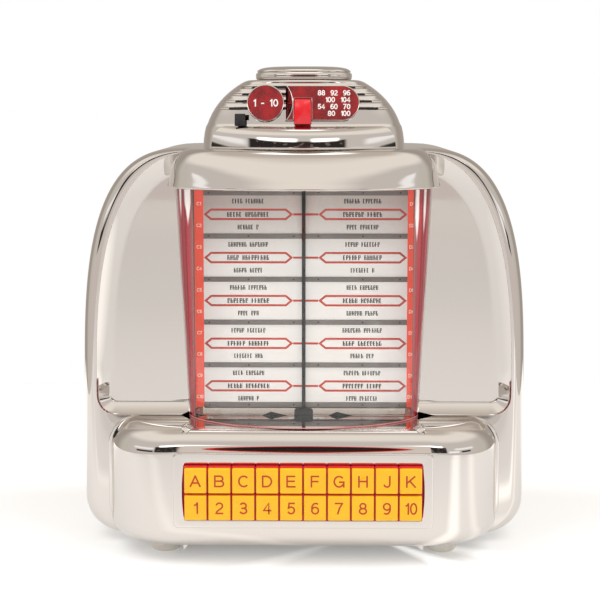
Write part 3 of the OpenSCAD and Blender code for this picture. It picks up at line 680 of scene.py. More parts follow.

# the painted glow of the table top by place (m) and direction (degrees): its strength near the object, in
# front of it, far in front and behind it, where each fades, how much less it is under the object as painted
# shadow, and the painted bright streaks that lead to the front
pool = {"tint": "#FFFEFB", "near": 0.44, "front": 0.26, "fade": (-0.30, -0.15), "far": 0.16,
        "farFade": (-2.4, -1.0), "behind": 0.3, "behindFade": (0.06, 0.2), "shade": (0.11, 0.07),
        "shadeLoss": 0.6, "shadeEdge": (-0.03, 0.012), "pivot": (0.04, -0.02),
        "paintedStreaks": ((36, 46, 0.42), (59, 67, 0.2), (-52, -44, 0.12)), "streakEdge": (-3, 3)}


def makeSweep():
    # grey laminate under a painted glow: brightest round and behind the object, a shade darker towards the
    # viewer, with painted shadow under the object and painted bright streaks
    p = pool
    material, tree, shader, place = startFinish("laminatePaintedGlow", Roughness=0.8, IOR=1.3,
                                                Emission_Color=hexColour(p["tint"]))
    tree.links.new(twoTone(tree, speckle(tree, place, 400, 1), "#C1C2C3", "#C5C6C7"),
                   shader.inputs["Base Color"])
    spot = addNode(tree, "ShaderNodeSeparateXYZ", links={"Vector": place})
    x, y = spot.outputs["X"], spot.outputs["Y"]
    sums = partial(math2, tree)
    glow = sums("ADD", spread(tree, y, p["front"], p["near"], *p["fade"]),
                spread(tree, y, p["far"], 0, *p["farFade"]))
    glow = sums("ADD", glow, spread(tree, y, 0, p["behind"], *p["behindFade"]))
    # painted shadow: less glow under the object
    paintedShadow = 1.0
    for away, half in zip((sums("ABSOLUTE", x), sums("ABSOLUTE", y)), p["shade"]):
        paintedShadow = sums("MULTIPLY", spread(tree, away, 1, 0, *[half + edge for edge in p["shadeEdge"]]), paintedShadow)
    glow = sums("SUBTRACT", glow, sums("MULTIPLY", paintedShadow, p["near"] * p["shadeLoss"]))
    angle = sums("ARCTAN2", sums("SUBTRACT", x, p["pivot"][0]), sums("SUBTRACT", p["pivot"][1], y))
    # painted bright streaks on the table top
    for low, high, gain in p["paintedStreaks"]:
        rising, falling = (spread(tree, angle, *ends, *[math.radians(at + edge) for edge in p["streakEdge"]])
                           for ends, at in (((0, gain), low), ((1, 0), high)))
        glow = sums("ADD", glow, sums("MULTIPLY", rising, falling))
    tree.links.new(glow, shader.inputs["Emission Strength"])
    return material


paint(floor, makeSweep())


def makeRoom():
    # the studio, drawn by direction: white behind the object, beige in front, darker towards the
    # viewer's side at eye level, with two soft lamps over that, and one overhead
    world = bpy.data.worlds.new("studio")
    bpy.context.scene.world = world
    world.use_nodes = True
    tree = world.node_tree
    place = addNode(tree, "ShaderNodeTexCoord").outputs["Generated"]
    direction = addNode(tree, "ShaderNodeSeparateXYZ", links={"Vector": place})
    x, y, z = (direction.outputs[k] for k in "XYZ")
    sums = partial(math2, tree)
    elevation = sums("MULTIPLY", sums("ARCSINE", z), 180 / math.pi)
    # 0 is the viewer's side
    azimuth = sums("MULTIPLY", sums("ARCTAN2", x, sums("MULTIPLY", y, -1)), 180 / math.pi)

    def rise(value, low, high):
        return addNode(tree, "ShaderNodeMapRange", {"From Min": low, "From Max": high},
                       {"Value": value}, interpolation_type="SMOOTHSTEP").outputs["Result"]

    def window(value, low, high, soft):
        over = sums("SUBTRACT", 1, rise(value, high - soft, high + soft))
        return sums("MULTIPLY", rise(value, low - soft, low + soft), over)

    def patch(left, right, low, high, softSide, softUp):
        return sums("MULTIPLY", window(azimuth, left, right, softSide), window(elevation, low, high, softUp))

    clutter = addNode(tree, "ShaderNodeTexNoise", {"Scale": 14.0, "Detail": 1.0},
                      {"Vector": place}).outputs["Fac"]
    clutter = rise(clutter, 0.6, 0.64)
    colour = hexColour("#E2DCD8")
    for share, tint, strength in (
            (rise(elevation, 26, 40), "#FFF8F0", 1.1),                         # light band above the lamps
            (rise(elevation, 56, 72), "#E8DED4", 0.86),                        # ceiling
            (patch(-200, 200, 84, 100, 10, 3), "#FFFFFF", 2.6),                # overhead lamp
            (rise(elevation, -0.5, -3), "#E3D9D5", 1.0),                       # below the table's edge
            (patch(-36, 27, 0.5, 15.5, 1.5, 0.8), "#35312F", 1.0),             # dark room behind the viewer
            (patch(-66, -38, 0.5, 5, 1.5, 0.6), "#3C3A36", 1.0),               # doorways at both sides
            (patch(50, 66, 0.5, 5, 1.5, 0.6), "#353A35", 1.0),
            (sums("MULTIPLY", patch(-32, 25, 1, 14, 1, 1), clutter), "#77726A", 1.0),
            (patch(30, 46, 0.5, 5, 2, 0.6), "#FFFFFF", 1.3),                   # low window
            (patch(-72, -38, 8, 13, 3, 1.5), "#FFFFFF", 1.2),                  # side lights
            (patch(40, 72, 8, 13, 3, 1.5), "#FFFFFF", 1.2),
            (patch(-30, -5, 15, 19, 2, 1), "#FFFFFF", 3.0),                    # left lamp
            (patch(5, 22, 15, 19, 2, 1), "#FFFFFF", 3.0),                      # right lamp
            (patch(-125, -80, -60, 25, 10, 6), "#DCD8CE", 1.0),                # sides of the room
            (patch(80, 125, -60, 25, 10, 6), "#DCD8CE", 1.0),
            (rise(y, 0.1, 0.5), "#B7AEA6", 1.0),                               # wall behind the object
            (addNode(tree, "ShaderNodeLightPath").outputs["Is Camera Ray"], "#FFFFFF", 1.0)):
        colour = blended(tree, share, colour, [v * strength for v in hexColour(tint)[:3]] + [1])
    tree.links.new(colour, tree.nodes["Background"].inputs["Color"])


makeRoom()


def makeCard():
    # a pale card low behind the camera, with a dark red-edged lens on it, seen only in mirror images
    c = card
    for name, tint, strength, stand, half, rise, power in c["layers"]:
        deselectAll()
        bpy.ops.mesh.primitive_circle_add(vertices=64, radius=0.1, fill_type="NGON", enter_editmode=True)
        piece = nameNew(name)
        mesh = bmesh.from_edit_mesh(piece.data)
        outline = oval(*c["middle"], half, rise, power, steps=64)
        for vert, (x, z) in zip(mesh.verts, outline):
            vert.co = Vector((x, c["stand"] + stand, z)) * mm
        bmesh.update_edit_mesh(piece.data)
        leaveEdit()
        paint(piece, startFinish(name + "Paint", Roughness=0.9, Base_Color=hexColour("#000000"),
                                 Emission_Color=hexColour(tint), Emission_Strength=strength)[0])
        piece.visible_camera = piece.visible_diffuse = False
        piece.visible_shadow = piece.visible_transmission = False


card = {"middle": (-2, 222), "stand": -1100, "layers": (
    ("paleCard", "#F6EBE2", 0.95, 0, 185, 164, 20), ("redLens", "#E01A20", 1.0, 2, 151, 158, 1.7),
    ("darkLens", "#221D19", 0.9, 4, 136, 118, 1.7))}
makeCard()

softbox = {"place": (700, -300, 1300), "aim": (0, 0, 150), "size": 800, "power": 8}
for lampName, lampSide in (("softboxLeft", -1), ("softboxRight", 1)):
    deselectAll()
    lampX, lampY, lampZ = softbox["place"]
    bpy.ops.object.light_add(type="AREA", location=Vector((lampSide * lampX, lampY, lampZ)) * mm)
    lamp = nameNew(lampName)
    lamp.data.shape = "SQUARE"
    lamp.data.size = softbox["size"] * mm
    lamp.data.energy = softbox["power"]
    lamp.rotation_euler = (Vector(softbox["aim"]) * mm - lamp.location).to_track_quat("-Z", "Y").to_euler()
    lamp.visible_glossy = False
print("camera, room and floor ready")

# body shell

body = {"half": 144, "foot": 5, "corner": 23, "spring": 98, "shoulder": 70, "rise": 159.7, "power": 3.0,
        "front": -36, "sideRound": 9, "topRound": 2, "depthRound": 12, "back": 74, "wall": 2.6,
        "panel": -30, "lip": 0.3, "slope": 10.5, "footSlope": 7,
        "topSlope": 11.5, "footBand": (84, 118), "topBand": (215, 245), "even": 0.85}
recess = {"foot": 84, "flat": 106, "spring": 98, "low": (120.5, 14, 2.2), "high": (62, 72.5, 2.75),
          "rise": 157.2}


def bodyOutline():
    b = body
    side, low, top = b["half"] - b["corner"], b["foot"] + b["corner"], b["spring"] + b["rise"]
    shoulder = oval(b["shoulder"], b["spring"], b["half"] - b["shoulder"], b["rise"], b["power"], 90, 300)
    return bothHalves(chain(evenly([(0, b["foot"]), (side, b["foot"])], 8),
                            evenly(arc(side, low, b["corner"], b["corner"], -90, 0, 30), 14),
                            evenly([(b["half"], low), (b["half"], b["spring"])], 6),
                            evenly(shoulder, 72), evenly([(b["shoulder"], top), (0, top)], 6)))


def recessOutline():
    # it has as many points as the body's outline
    r = recess
    foot, spring, top = r["foot"], r["spring"], r["spring"] + r["rise"]
    (lowX, low, lowPower), (highX, high, highPower) = r["low"], r["high"]
    corner = [(x, 2 * spring - z) for x, z in reversed(oval(lowX, spring, low, low, lowPower, 90, 300))]
    return bothHalves(chain(evenly([(0, foot), (r["flat"], foot)], 8),
                            evenly([(r["flat"], foot), (lowX, foot)], 8), evenly(corner, 12),
                            evenly(oval(highX, spring, high, r["rise"], highPower, 90, 300), 72),
                            evenly([(highX, top), (0, top)], 6)))


def makeBody():
    b = body
    outer, inner = bodyOutline(), recessOutline()
    top = b["spring"] + b["rise"]
    middle, reach = (top + b["foot"]) / 2, (top - b["foot"]) / 2

    def drawnIn(side, rise, y):
        return upright([(x * (b["half"] - side) / b["half"], middle + (z - middle) * (reach - rise) / reach)
                        for x, z in outer], y)

    def part(z, low, high):
        return min(1, max(0, (z - low) / (high - low)))

    def slope(z, t):
        # how far in and how deep the slope is at one share of its way from the panel (0) to the lip (1)
        foot, top = 1 - part(z, *b["footBand"]), part(z, *b["topBand"])
        reach = b["slope"] + (b["footSlope"] - b["slope"]) * foot + (b["topSlope"] - b["slope"]) * top
        return reach * (1 - t), b["even"] * t + (1 - b["even"]) * t * t

    rings = [upright(pushed(inner, lambda z: -slope(z, 0)[0] - 1.2), b["panel"])]
    lip = b["front"] + b["lip"]
    for i in range(7):
        moved = pushed(inner, lambda z: -slope(z, i / 6)[0])
        rings.append([(x, b["panel"] + (lip - b["panel"]) * slope(start[1], i / 6)[1], z)
                      for (x, z), start in zip(moved, inner)])
    for s, c in turns(30, 60, 90):
        rings.append(upright(pushed(inner, b["lip"] * (1 - c)), lip - b["lip"] * s))
    side, top, depth = b["sideRound"], b["topRound"], b["depthRound"]
    for s, c in turns(*range(90, -1, -6)):
        rings.append(drawnIn(side * (1 - c), top * (1 - c), b["front"] + depth * (1 - s)))
    wall, back = b["wall"], b["back"]
    rings += [drawnIn(0, 0, y) for y in (-22.5, 0, 35, back - 1.4)]
    rings += [drawnIn(0.4, 0.4, back), drawnIn(wall, wall, back), drawnIn(wall, wall, -14),
              drawnIn(wall + 12, wall + 7, -26.6)]
    complete(drawRings("bodyShell", rings), 40, "chrome", "chrome_plate", "body_shell")


makeBody()
print("body shell done")

# console

console = {"flat": 80, "bow": 44.6, "bowBack": -38.5, "front": -77.5, "back": -36, "wall": 2.6,
           "foot": 8.5, "lowRound": 12, "lowFront": 12, "lowSide": 15,
           "topStart": 66.5, "topRise": 17.5, "topFront": 9.5, "topSide": 18, "opening": (75.5, 27.7, 64.7)}
flange = {"back": -36.4, "front": -38.5, "round": 0.9, "width": 9, "foot": 5.5, "top": 84, "half": 127,
          "lowCorner": 23, "highCorner": 19}


def consolePlan(sideIn, frontIn):
    # outline from the left back corner round the front to the right back corner, then along the back
    c = console
    curve = arc(c["flat"] - 0.5 * sideIn, c["bowBack"], c["bow"] - 0.5 * sideIn,
                c["bowBack"] - c["front"] - frontIn, -90, 0, 300)
    edge, (side, rear), front = c["opening"][0], curve[-1], curve[0]
    half = chain(evenly([(0, front[1]), (edge, front[1])], 10), evenly([(edge, front[1]), front], 3),
                 evenly(curve, 54), evenly([(side, rear), (side, c["back"])], 2))
    back = evenly([(side, c["back"]), (-side, c["back"])], 20)
    return half + back[1:-1] + [(-x, y) for x, y in reversed(half)][:-1]


def makeFlange():
    # flat collar of the console against the body
    f = flange
    low, high, top = f["lowCorner"], f["highCorner"], f["top"]
    half = chain(evenly([(0, f["foot"]), (f["half"] - low, f["foot"])], 4),
                 evenly(arc(f["half"] - low, f["foot"] + low, low, low, -90, 0, 30), 18),
                 evenly([(f["half"], f["foot"] + low), (f["half"], top - high)], 4),
                 evenly(arc(f["half"] - high, top - high, high, high, 0, 90, 30), 16),
                 evenly([(f["half"] - high, top), (0, top)], 4))
    outline = bothHalves(half)
    rings = [upright(pushed(outline, -f["width"]), f["back"]), upright(outline, f["back"]),
             upright(outline, f["front"] + f["round"])]
    for s, c in turns(20, 40, 60, 80, 90):
        rings.append(upright(pushed(outline, -f["round"] * (1 - c)), f["front"] + f["round"] * (1 - s)))
    rings += [upright(pushed(outline, -1.6), f["front"]), upright(pushed(outline, -f["width"]), f["front"])]
    piece = drawRings("consoleFlange", rings, capped=False)
    smoothPiece(piece, 40)
    return piece


def makeConsole():
    c = console
    low, top, side, front = c["lowRound"], c["topRise"], c["topSide"], c["topFront"]
    rings = [level(consolePlan(c["lowSide"] + 0.6, c["lowFront"] + 0.6), c["foot"])]
    for s, k in turns(*range(90, -1, -6)):
        rings.append(level(consolePlan(c["lowSide"] * (1 - k), c["lowFront"] * (1 - k)),
                           c["foot"] + low * (1 - s)))
    for z in (21.5, c["opening"][1], 46.2, c["opening"][2], 65.6):
        rings.append(level(consolePlan(0, 0), z))
    for s, k in turns(*range(0, 91, 5)):
        rings.append(level(consolePlan(side * (1 - k), front * (1 - k)), c["topStart"] + top * s))
    rings.append(level(consolePlan(side + 1.5, front + 1.5), c["topStart"] + top))
    piece = drawRings("consoleShell", rings)
    edge, low, high = c["opening"]
    deleteFaces(piece, lambda m, n: (n.y > 0.9 and m.y > c["back"] - 0.6)
                or (abs(m.x) < edge and low < m.z < high and m.y < -70))
    useModifier(piece, "SOLIDIFY", thickness=c["wall"] * mm, offset=-1)
    smoothPiece(piece, 40)
    gather([piece, makeFlange()], "consoleShell", "chrome", "chassis", "chrome_plate", "console_shell")


makeConsole()
print("console done")

# bezel and keys

bezel = {"inside": -75.2, "back": -77.5, "front": -79, "round": 0.9, "innerRound": 0.5, "width": 161,
         "height": 47.4, "middle": 47, "corner": 3, "openMiddle": 46.2, "openHeight": 35, "bow": 74.7,
         "bowRadius": 110}


def makeBezel():
    z = bezel
    w, r = z["width"] / 2, z["corner"]
    low, high = z["middle"] - z["height"] / 2, z["middle"] + z["height"] / 2
    outer = bothHalves(chain(evenly([(0, low), (w - r, low)], 20), arc(w - r, low + r, r, r, -90, 0, 8),
                             evenly([(w, low + r), (w, high - r)], 24), arc(w - r, high - r, r, r, 0, 90, 8),
                             evenly([(w - r, high), (0, high)], 20)))
    low, high = z["openMiddle"] - z["openHeight"] / 2, z["openMiddle"] + z["openHeight"] / 2

    def bowed(height):
        return z["bow"] - z["bowRadius"] + math.sqrt(z["bowRadius"] ** 2 - (height - z["openMiddle"]) ** 2)

    side = [(bowed(height), height) for height in [low + (high - low) * i / 40 for i in range(41)]]
    inner = bothHalves(chain(evenly([(0, low), side[0]], 22), evenly(side, 36),
                             evenly([side[-1], (0, high)], 22)))
    front, r, lip = z["front"], z["round"], z["innerRound"]
    rings = [upright(inner, z["inside"]), upright(inner, front + 0.6)]
    for s, c in turns(30, 60, 90):
        rings.append(upright(pushed(inner, lip * (1 - c)), front + 0.6 - lip * s))
    rings += [upright(pushed(inner, 1.2), front), upright(pushed(outer, -1.5), front)]
    for s, c in turns(90, 70, 50, 30, 10, 0):
        rings.append(upright(pushed(outer, -r * (1 - c)), front + r * (1 - s)))
    rings += [upright(outer, z["back"]), upright(pushed(outer, -5), z["back"])]
    complete(drawRings("keyBezel", rings, capped=False), 35, "chrome", "chrome_plate", "key_bezel")


makeBezel()

keys = {"pitch": 14.7, "letterRow": 54.95, "numberRow": 38.05, "width": 13.5, "height": 15.5, "corner": 0.8,
        "body": (14.5, 16.7), "front": -85, "step": 0.6, "colourLine": -82.6, "back": -77.3,
        "stem": (9, 11), "guideBack": -72.4, "collar": (11.4, 13.4), "plungerStart": -70.8,
        "plungerEnd": -68.3, "legendHeight": 6.5, "legendWeight": 1.0}


def keyPlaces():
    # the name and place of each key
    k = keys
    for z, names in ((k["letterRow"], "ABCDEFGHJK"), (k["numberRow"], [str(i) for i in range(1, 11)])):
        for column, name in enumerate(names):
            yield name, (column - 4.5) * k["pitch"], z


def redraw(before, after, forward=0.0):
    # a face of another size is drawn out of the selected one and moved
    bpy.ops.mesh.extrude_region_move()
    bpy.ops.transform.resize(value=(after[0] / before[0], 1, after[1] / before[1]), center_override=(0, 0, 0))
    bpy.ops.transform.translate(value=(0, -forward * mm, 0))


def makeKey():
    # red body with the yellow cap standing on it, and its stem and plunger behind
    k = keys
    size, back, line = k["body"], k["back"], k["colourLine"]
    piece = roundedBox("key", (0, (line + back) / 2, 0), (size[0], back - line, size[1]), k["corner"])
    editFaces(piece, lambda m, n: n.y < -0.9)
    cap = (k["width"], k["height"])
    redraw(size, cap)
    redraw(cap, cap, line - k["front"] - k["step"])
    for border, forward in ((0.25, 0.35), (0.6, 0.25), (0.15, 0)):  # bevelled rim of the face
        smaller = (cap[0] - 2 * border, cap[1] - 2 * border)
        redraw(cap, smaller, forward)
        cap = smaller
    leaveEdit()
    editFaces(piece, lambda m, n: n.y > 0.9)
    redraw(size, k["stem"])
    redraw(k["stem"], k["stem"], back - k["guideBack"] - 0.4)
    redraw(k["stem"], k["collar"])
    redraw(k["collar"], k["collar"], -1.2)
    leaveEdit()
    start, end = k["plungerStart"], k["plungerEnd"]
    piece = joinPieces([piece, disc("plunger", (0, (start + end) / 2, 0), 2.4, end - start, vertices=20)],
                       "key")
    splitPaint(piece, "keyRed", "keyYellow", lambda face: face.center.y < (line - 0.05) * mm)
    piece.data.materials.append(finishes["keyInk"])
    smoothPiece(piece, 28)
    return piece


def makeKeys():
    k = keys
    plain = makeKey()
    for name, x, z in keyPlaces():
        node = "key_" + name.lower()
        copy = copyPiece(plain, "key" + name, (x, 0, z))
        mark = lettering("mark" + name, name, k["legendHeight"], (x, z), k["front"] - 0.03, k["legendWeight"],
                         1.02 if len(name) > 1 else 1.2)
        paint(mark, finishes["keyInk"])
        seat(joinPieces([copy, mark], "key" + name), node, "key_yellow", node)
    bpy.data.objects.remove(plain)


makeKeys()

domes = {"sheetFront": -65.2, "sheetBack": -64.0, "sheet": (150, 38), "corner": 3, "foot": 4.2, "tip": 2.6,
         "rise": 3.1, "sink": 0.1, "edge": 0.4, "keep": 0.38}


def makeDomes():
    # silicone sheet with a dome behind each key, each dome with a mesh of its own
    d, k = domes, keys
    front, back, foot = d["sheetFront"], d["sheetBack"], d["sheetFront"] + d["sink"]
    sheet = roundedBox("domeSheet", (0, (front + back) / 2, (k["letterRow"] + k["numberRow"]) / 2),
                       (d["sheet"][0], back - front, d["sheet"][1]), d["corner"])
    gather([sheet], "domeSheet", "silicone", "chassis", "silicone", "key_dome_mat")
    deselectAll()
    bpy.ops.mesh.primitive_cone_add(
        vertices=24, radius1=d["foot"] * mm, radius2=d["tip"] * mm, depth=d["rise"] * mm,
        location=(0, (foot - d["rise"] / 2) * mm, 0), rotation=(math.pi / 2, 0, 0))
    plain = nameNew("dome")
    settle(plain)
    useModifier(plain, "BEVEL", width=d["edge"] * mm, segments=2, limit_method="ANGLE")
    smoothPiece(plain)
    paint(plain, finishes["silicone"])
    for name, x, z in keyPlaces():
        dome = copyPiece(plain, "dome" + name, (x, 0, z))
        seat(dome, "chassis", "silicone")
        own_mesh(dome)
    bpy.data.objects.remove(plain)


makeDomes()
print("bezel, keys and domes done")

# title window and pages

window = {"foot": 84, "top": 236, "halfLow": 75, "halfHigh": 83, "frontLow": -71, "frontHigh": -73,
          "back": -30, "wall": 2, "cutEdge": (0.25, 0.95), "cutReach": (-0.2, 0.12), "film": 0.25,
          "filmGap": 0.15, "filmEnd": 1.2}


def ovalPlan(half, front, back, power, steps):
    # half oval from the right end round the front to the left end, closed along its back
    curve = evenly(oval(0, back, half, front - back, power, 180, 600), steps)
    return curve + evenly([curve[-1], curve[0]], 12)[1:-1]


def windowAt(share):
    # the window's half width and front at a share of its height
    return [window[low] + (window[high] - window[low]) * share
            for low, high in (("halfLow", "halfHigh"), ("frontLow", "frontHigh"))]


def makeWindow():
    w = window
    foot = w["foot"] + 0.1
    rings = [level(ovalPlan(*windowAt(i / 8), w["back"], 2, 120), foot + (w["top"] - foot) * i / 8)
             for i in range(9)]
    piece = drawRings("titleWindow", rings)
    deleteFaces(piece, lambda m, n: abs(n.z) > 0.8 or n.y > 0.9)
    useModifier(piece, "SOLIDIFY", thickness=w["wall"] * mm, offset=-1)
    smoothPiece(piece, 40)
    gather([piece], "titleWindow", "acrylic", "chassis", "clear_plastic", "title_window")


def makeSideFilm(side, name, finish):
    # a sheet with the painted reflection lines the window's wall from the strip's edge to the back
    w = window

    def place(i, j):
        z = w["foot"] + w["filmEnd"] + (w["top"] - w["foot"] - 2 * w["filmEnd"]) * j / 24
        half, front = windowAt((z - w["foot"]) / (w["top"] - w["foot"]))
        half, reach = (whole - w["wall"] - w["filmGap"] for whole in (half, w["back"] - front))
        a = math.acos(min(1, reflectionFilm["inner"] / half)) * i / 16
        return side * half * math.cos(a), w["back"] - reach * math.sin(a), z

    piece = drawGrid(name, 16, 24, place)
    useModifier(piece, "SOLIDIFY", thickness=w["film"] * mm, offset=0)
    turnOutward(piece)
    complete(piece, 40, finish, "clear_plastic")


def makeWindowEdge():
    # the window's foot, with pink light painted along the clear acrylic's cut edge
    w = window
    low, high = (w["foot"] + rise for rise in w["cutEdge"])
    inner, outer = (ovalPlan(w["halfLow"] + out, w["frontLow"] - out, w["back"], 2, 120)
                    for out in w["cutReach"])
    piece = drawRings("windowFootEdge", [level(inner, low), level(outer, low), level(outer, high),
                                         level(inner, high)], capped=False)
    complete(piece, 40, "pinkEdgeLight", "clear_plastic")


makeWindow()
makeSideFilm(-1, "leftReflectionSheet", "stripReflectionLeft")
makeSideFilm(1, "rightReflectionSheet", "stripReflectionRight")
makeWindowEdge()

pages = {"foot": 88, "top": 234, "leftEdge": -64.5, "rightEdge": 66.7, "stripWidth": 5.8, "face": -31.7,
         "gutter": 0.2, "rowMiddle": 214.8, "rowPitch": 28.05, "hexHalf": 3.75, "line": 1.4,
         "linkReach": 1.0, "leftTips": (-64.4, -6.8), "rightTips": (9.4, 66.6), "shoulder": 4.5,
         "barTop": 228.8, "barLow": 90.4, "barHeight": 3.4, "rivets": (-61, -35.5, -6.4, 9.4, 38, 62),
         "ink": -31.76, "codeRise": 6.9, "codeHeight": 1.9, "codeWeight": 0.42}
# small print, from the middle of the hexagon: rise, letter pitch and height of the marks
marks = {"title": (8.6, 1.72, 3.0), "middle": (0, 1.95, 3.1), "foot": (-8.2, 1.72, 3.0)}
rod = {"y": -33.9, "middle": 161, "radius": 1.2, "length": 144, "foot": (0, -33.6, 86.2),
       "footSize": (12.2, 4.2, 4.2)}


def makeSheet(name, x0, x1):
    p = pages
    return roundedBox(name, ((x0 + x1) / 2, p["face"] + 0.15, (p["foot"] + p["top"]) / 2),
                      (x1 - x0, 0.3, p["top"] - p["foot"]), 0.08, segments=2)


def makePage(name, x0, x1, node):
    gather([makeSheet(name, x0, x1)], name, "paper", "chassis", "card_paper", node)


def makeHexagon(tips, z):
    # printed outline round the middle line of a card
    p = pages
    left, right = tips
    deselectAll()
    bpy.ops.mesh.primitive_circle_add(vertices=6, radius=0.01, fill_type="NGON", enter_editmode=True)
    piece = nameNew("hexagon")
    half = [(left, 0), (left + p["shoulder"], p["hexHalf"]), (right - p["shoulder"], p["hexHalf"]),
            (right, 0)]
    mesh = bmesh.from_edit_mesh(piece.data)
    for vert, (x, h) in zip(mesh.verts, half + [(x, -h) for x, h in (half[2], half[1])]):
        vert.co = Vector((x, p["ink"], z + h)) * mm
    bpy.ops.mesh.select_all(action="SELECT")
    bpy.ops.mesh.normals_make_consistent(inside=False)
    bpy.ops.mesh.inset(thickness=p["line"] * mm)
    bpy.ops.mesh.delete(type="FACE")
    leaveEdit()
    return piece


def makeLink(x0, x1, z):
    # printed line from a hexagon's tip to the middle bar
    deselectAll()
    bpy.ops.mesh.primitive_plane_add(size=1, rotation=(math.pi / 2, 0, 0),
                                     location=Vector(((x0 + x1) / 2, pages["ink"], z)) * mm)
    piece = nameNew("link")
    piece.scale = (abs(x1 - x0) * mm, pages["line"] * mm, 1)
    settle(piece)
    return piece


def makeMarks(middle, z, letters, cell, height, seed):
    # a line of neutral marks in the place of small print: a grid whose faces are thinned out, so that
    # each mark is an upright and one to three cross strokes, sometimes with a second upright
    rows, columns = 7, letters * 5
    deselectAll()
    bpy.ops.mesh.primitive_grid_add(x_subdivisions=columns, y_subdivisions=rows, size=1,
                                    rotation=(math.pi / 2, 0, 0),
                                    location=(middle * mm, pages["ink"] * mm, z * mm))
    piece = nameNew("marks")
    width = letters * cell
    piece.scale = (width * mm, height * mm, 1)
    settle(piece)
    gap = 4 + seed % 4

    def blank(m, n):
        column = int((m.x - middle + width / 2) / (cell / 5))
        row = int((m.z - z + height / 2) / (height / rows))
        letter, part = divmod(column, 5)
        key = (seed * 7 + letter * letter * 5 + letter * 3) % 11
        if part == 4 or letter == gap:
            return True
        if part < 2:
            return False
        if part == 3:
            return key % 4 == 0 or (key % 4 == 1 and row < 3) or (key % 4 == 2 and row > 3)
        return row not in ((0, 6), (3, 6), (0, 3), (3,), (0, 3, 6))[key % 5]

    deleteFaces(piece, blank)
    return piece


def makePrint(name, tips, side, firstSeed):
    p = pages
    lines, rows = [], []
    for i in range(5):
        z, seed, middle = p["rowMiddle"] - i * p["rowPitch"], i * 3 + firstSeed, sum(tips) / 2
        lines.append(makeHexagon(tips, z))
        lines.append(makeLink(min(tips, key=abs), side * p["linkReach"], z))
        counts = (12 + seed % 4, 13 + (seed + 1) % 3, 8 + (seed * 5) % 6)
        for k, (letters, (rise, cell, height)) in enumerate(zip(counts, marks.values())):
            rows.append(makeMarks(middle, z + rise, letters, cell, height, seed + k))
    gather(lines, name + "Lines", "lineInk", "chassis", "card_paper")
    gather(rows, name + "Marks", "textInk", "chassis", "card_paper")


def makeIndexStrip(name, edge, side, letter, node):
    p = pages
    x0, x1 = sorted((edge, edge + side * p["stripWidth"]))
    piece = makeSheet("strip", x0, x1)
    paint(piece, finishes["strip"], finishes["stripInk"])
    parts = [piece]
    for i in range(10):
        z = p["rowMiddle"] + p["codeRise"] - i * p["rowPitch"] / 2
        mark = lettering("code", letter + str(i + 1), p["codeHeight"], ((x0 + x1) / 2, z), p["ink"],
                         p["codeWeight"])
        paint(mark, finishes["stripInk"])
        parts.append(mark)
    seat(joinPieces(parts, name), "chassis", "strip_orange", node)


def makeTitleFrame():
    # a bar over the first card and one under each card, the lowest drawn up a little
    p = pages
    heights = [max(p["barLow"], p["barTop"] - i * p["rowPitch"]) for i in range(6)]
    x0, x1 = p["leftEdge"], p["rightEdge"]
    bars = [roundedBox("bar", ((x0 + x1) / 2, p["face"] - 0.5, z), (x1 - x0, 1.0, p["barHeight"]), 0.3,
                       axis="X") for z in heights]
    z0, z1 = p["foot"] + 1, p["top"]
    for x, w in ((0, 1.8), (x0 - p["stripWidth"] - 0.5, 0.8), (x1 + p["stripWidth"] + 0.5, 0.8)):
        bars.append(roundedBox("upright", (x, p["face"] - 0.4, (z0 + z1) / 2), (w, 0.8, z1 - z0), 0.2,
                               axis="Z"))
    gather(bars, "titleFrame", "bar", "chassis", "bar_grey", "title_frame")
    rivet = disc("rivet", (0, p["face"] - 1.1, 0), 0.55, 0.5, vertices=16, edge=0.12)
    dots = [copyPiece(rivet, "dot", (x, 0, z)) for z in heights for x in p["rivets"]]
    bpy.data.objects.remove(rivet)
    gather(dots, "barRivets", "rivet", "chassis", "bar_grey")


def makeRod():
    shaft = disc("shaft", (0, rod["y"], rod["middle"]), rod["radius"], rod["length"], axis="Z", vertices=32,
                 edge=0.3)
    foot = roundedBox("foot", rod["foot"], rod["footSize"], 2.0, segments=6, edge=0.3)
    gather([shaft, foot], "pageRod", "rod", "chassis", "rod_black", "page_rod")


makePage("leftPage", pages["leftEdge"], -pages["gutter"], "left_title_page")
makePage("rightPage", pages["gutter"], pages["rightEdge"], "right_title_page")
makePrint("leftPrint", pages["leftTips"], -1, 0)
makePrint("rightPrint", pages["rightTips"], 1, 50)
makeIndexStrip("leftIndexStrip", pages["leftEdge"], -1, "C", "left_index_strip")
makeIndexStrip("rightIndexStrip", pages["rightEdge"], 1, "D", "right_index_strip")
makeTitleFrame()
makeRod()
print("window and pages done")

# hood

hood = {"half": 87.8, "front": -80, "lip": 232.7, "back": -30, "power": 2.3, "squarer": 0.03, "wall": 2.4,
        "ceiling": 4, "rings": ((0, 1.2, 1.3), (0.3, 0.5, 0.5), (0.65, 0.1, 0.1), (1.0, 0, 0),
                                (1.5, 0.12, 0.18), (2.8, 0.55, 0.75), (4.8, 1.15, 1.5), (6.8, 1.65, 2.3),
                                (8.8, 2.05, 3.1), (10.8, 2.4, 4), (12.8, 2.9, 5), (14.8, 3.6, 6),
                                (16.3, 4.4, 6.85), (17.8, 5.3, 7.8), (19.3, 6.4, 8.75), (20.8, 7.7, 9.8),
                                (21.8, 8.6, 10.6), (22.8, 9.8, 11.6), (23.6, 11, 12.5), (24.2, 12.4, 13.5),
                                (24.6, 13.9, 14.5), (24.85, 15.4, 15.5), (25, 17, 16.6), (25, 19.5, 19))}


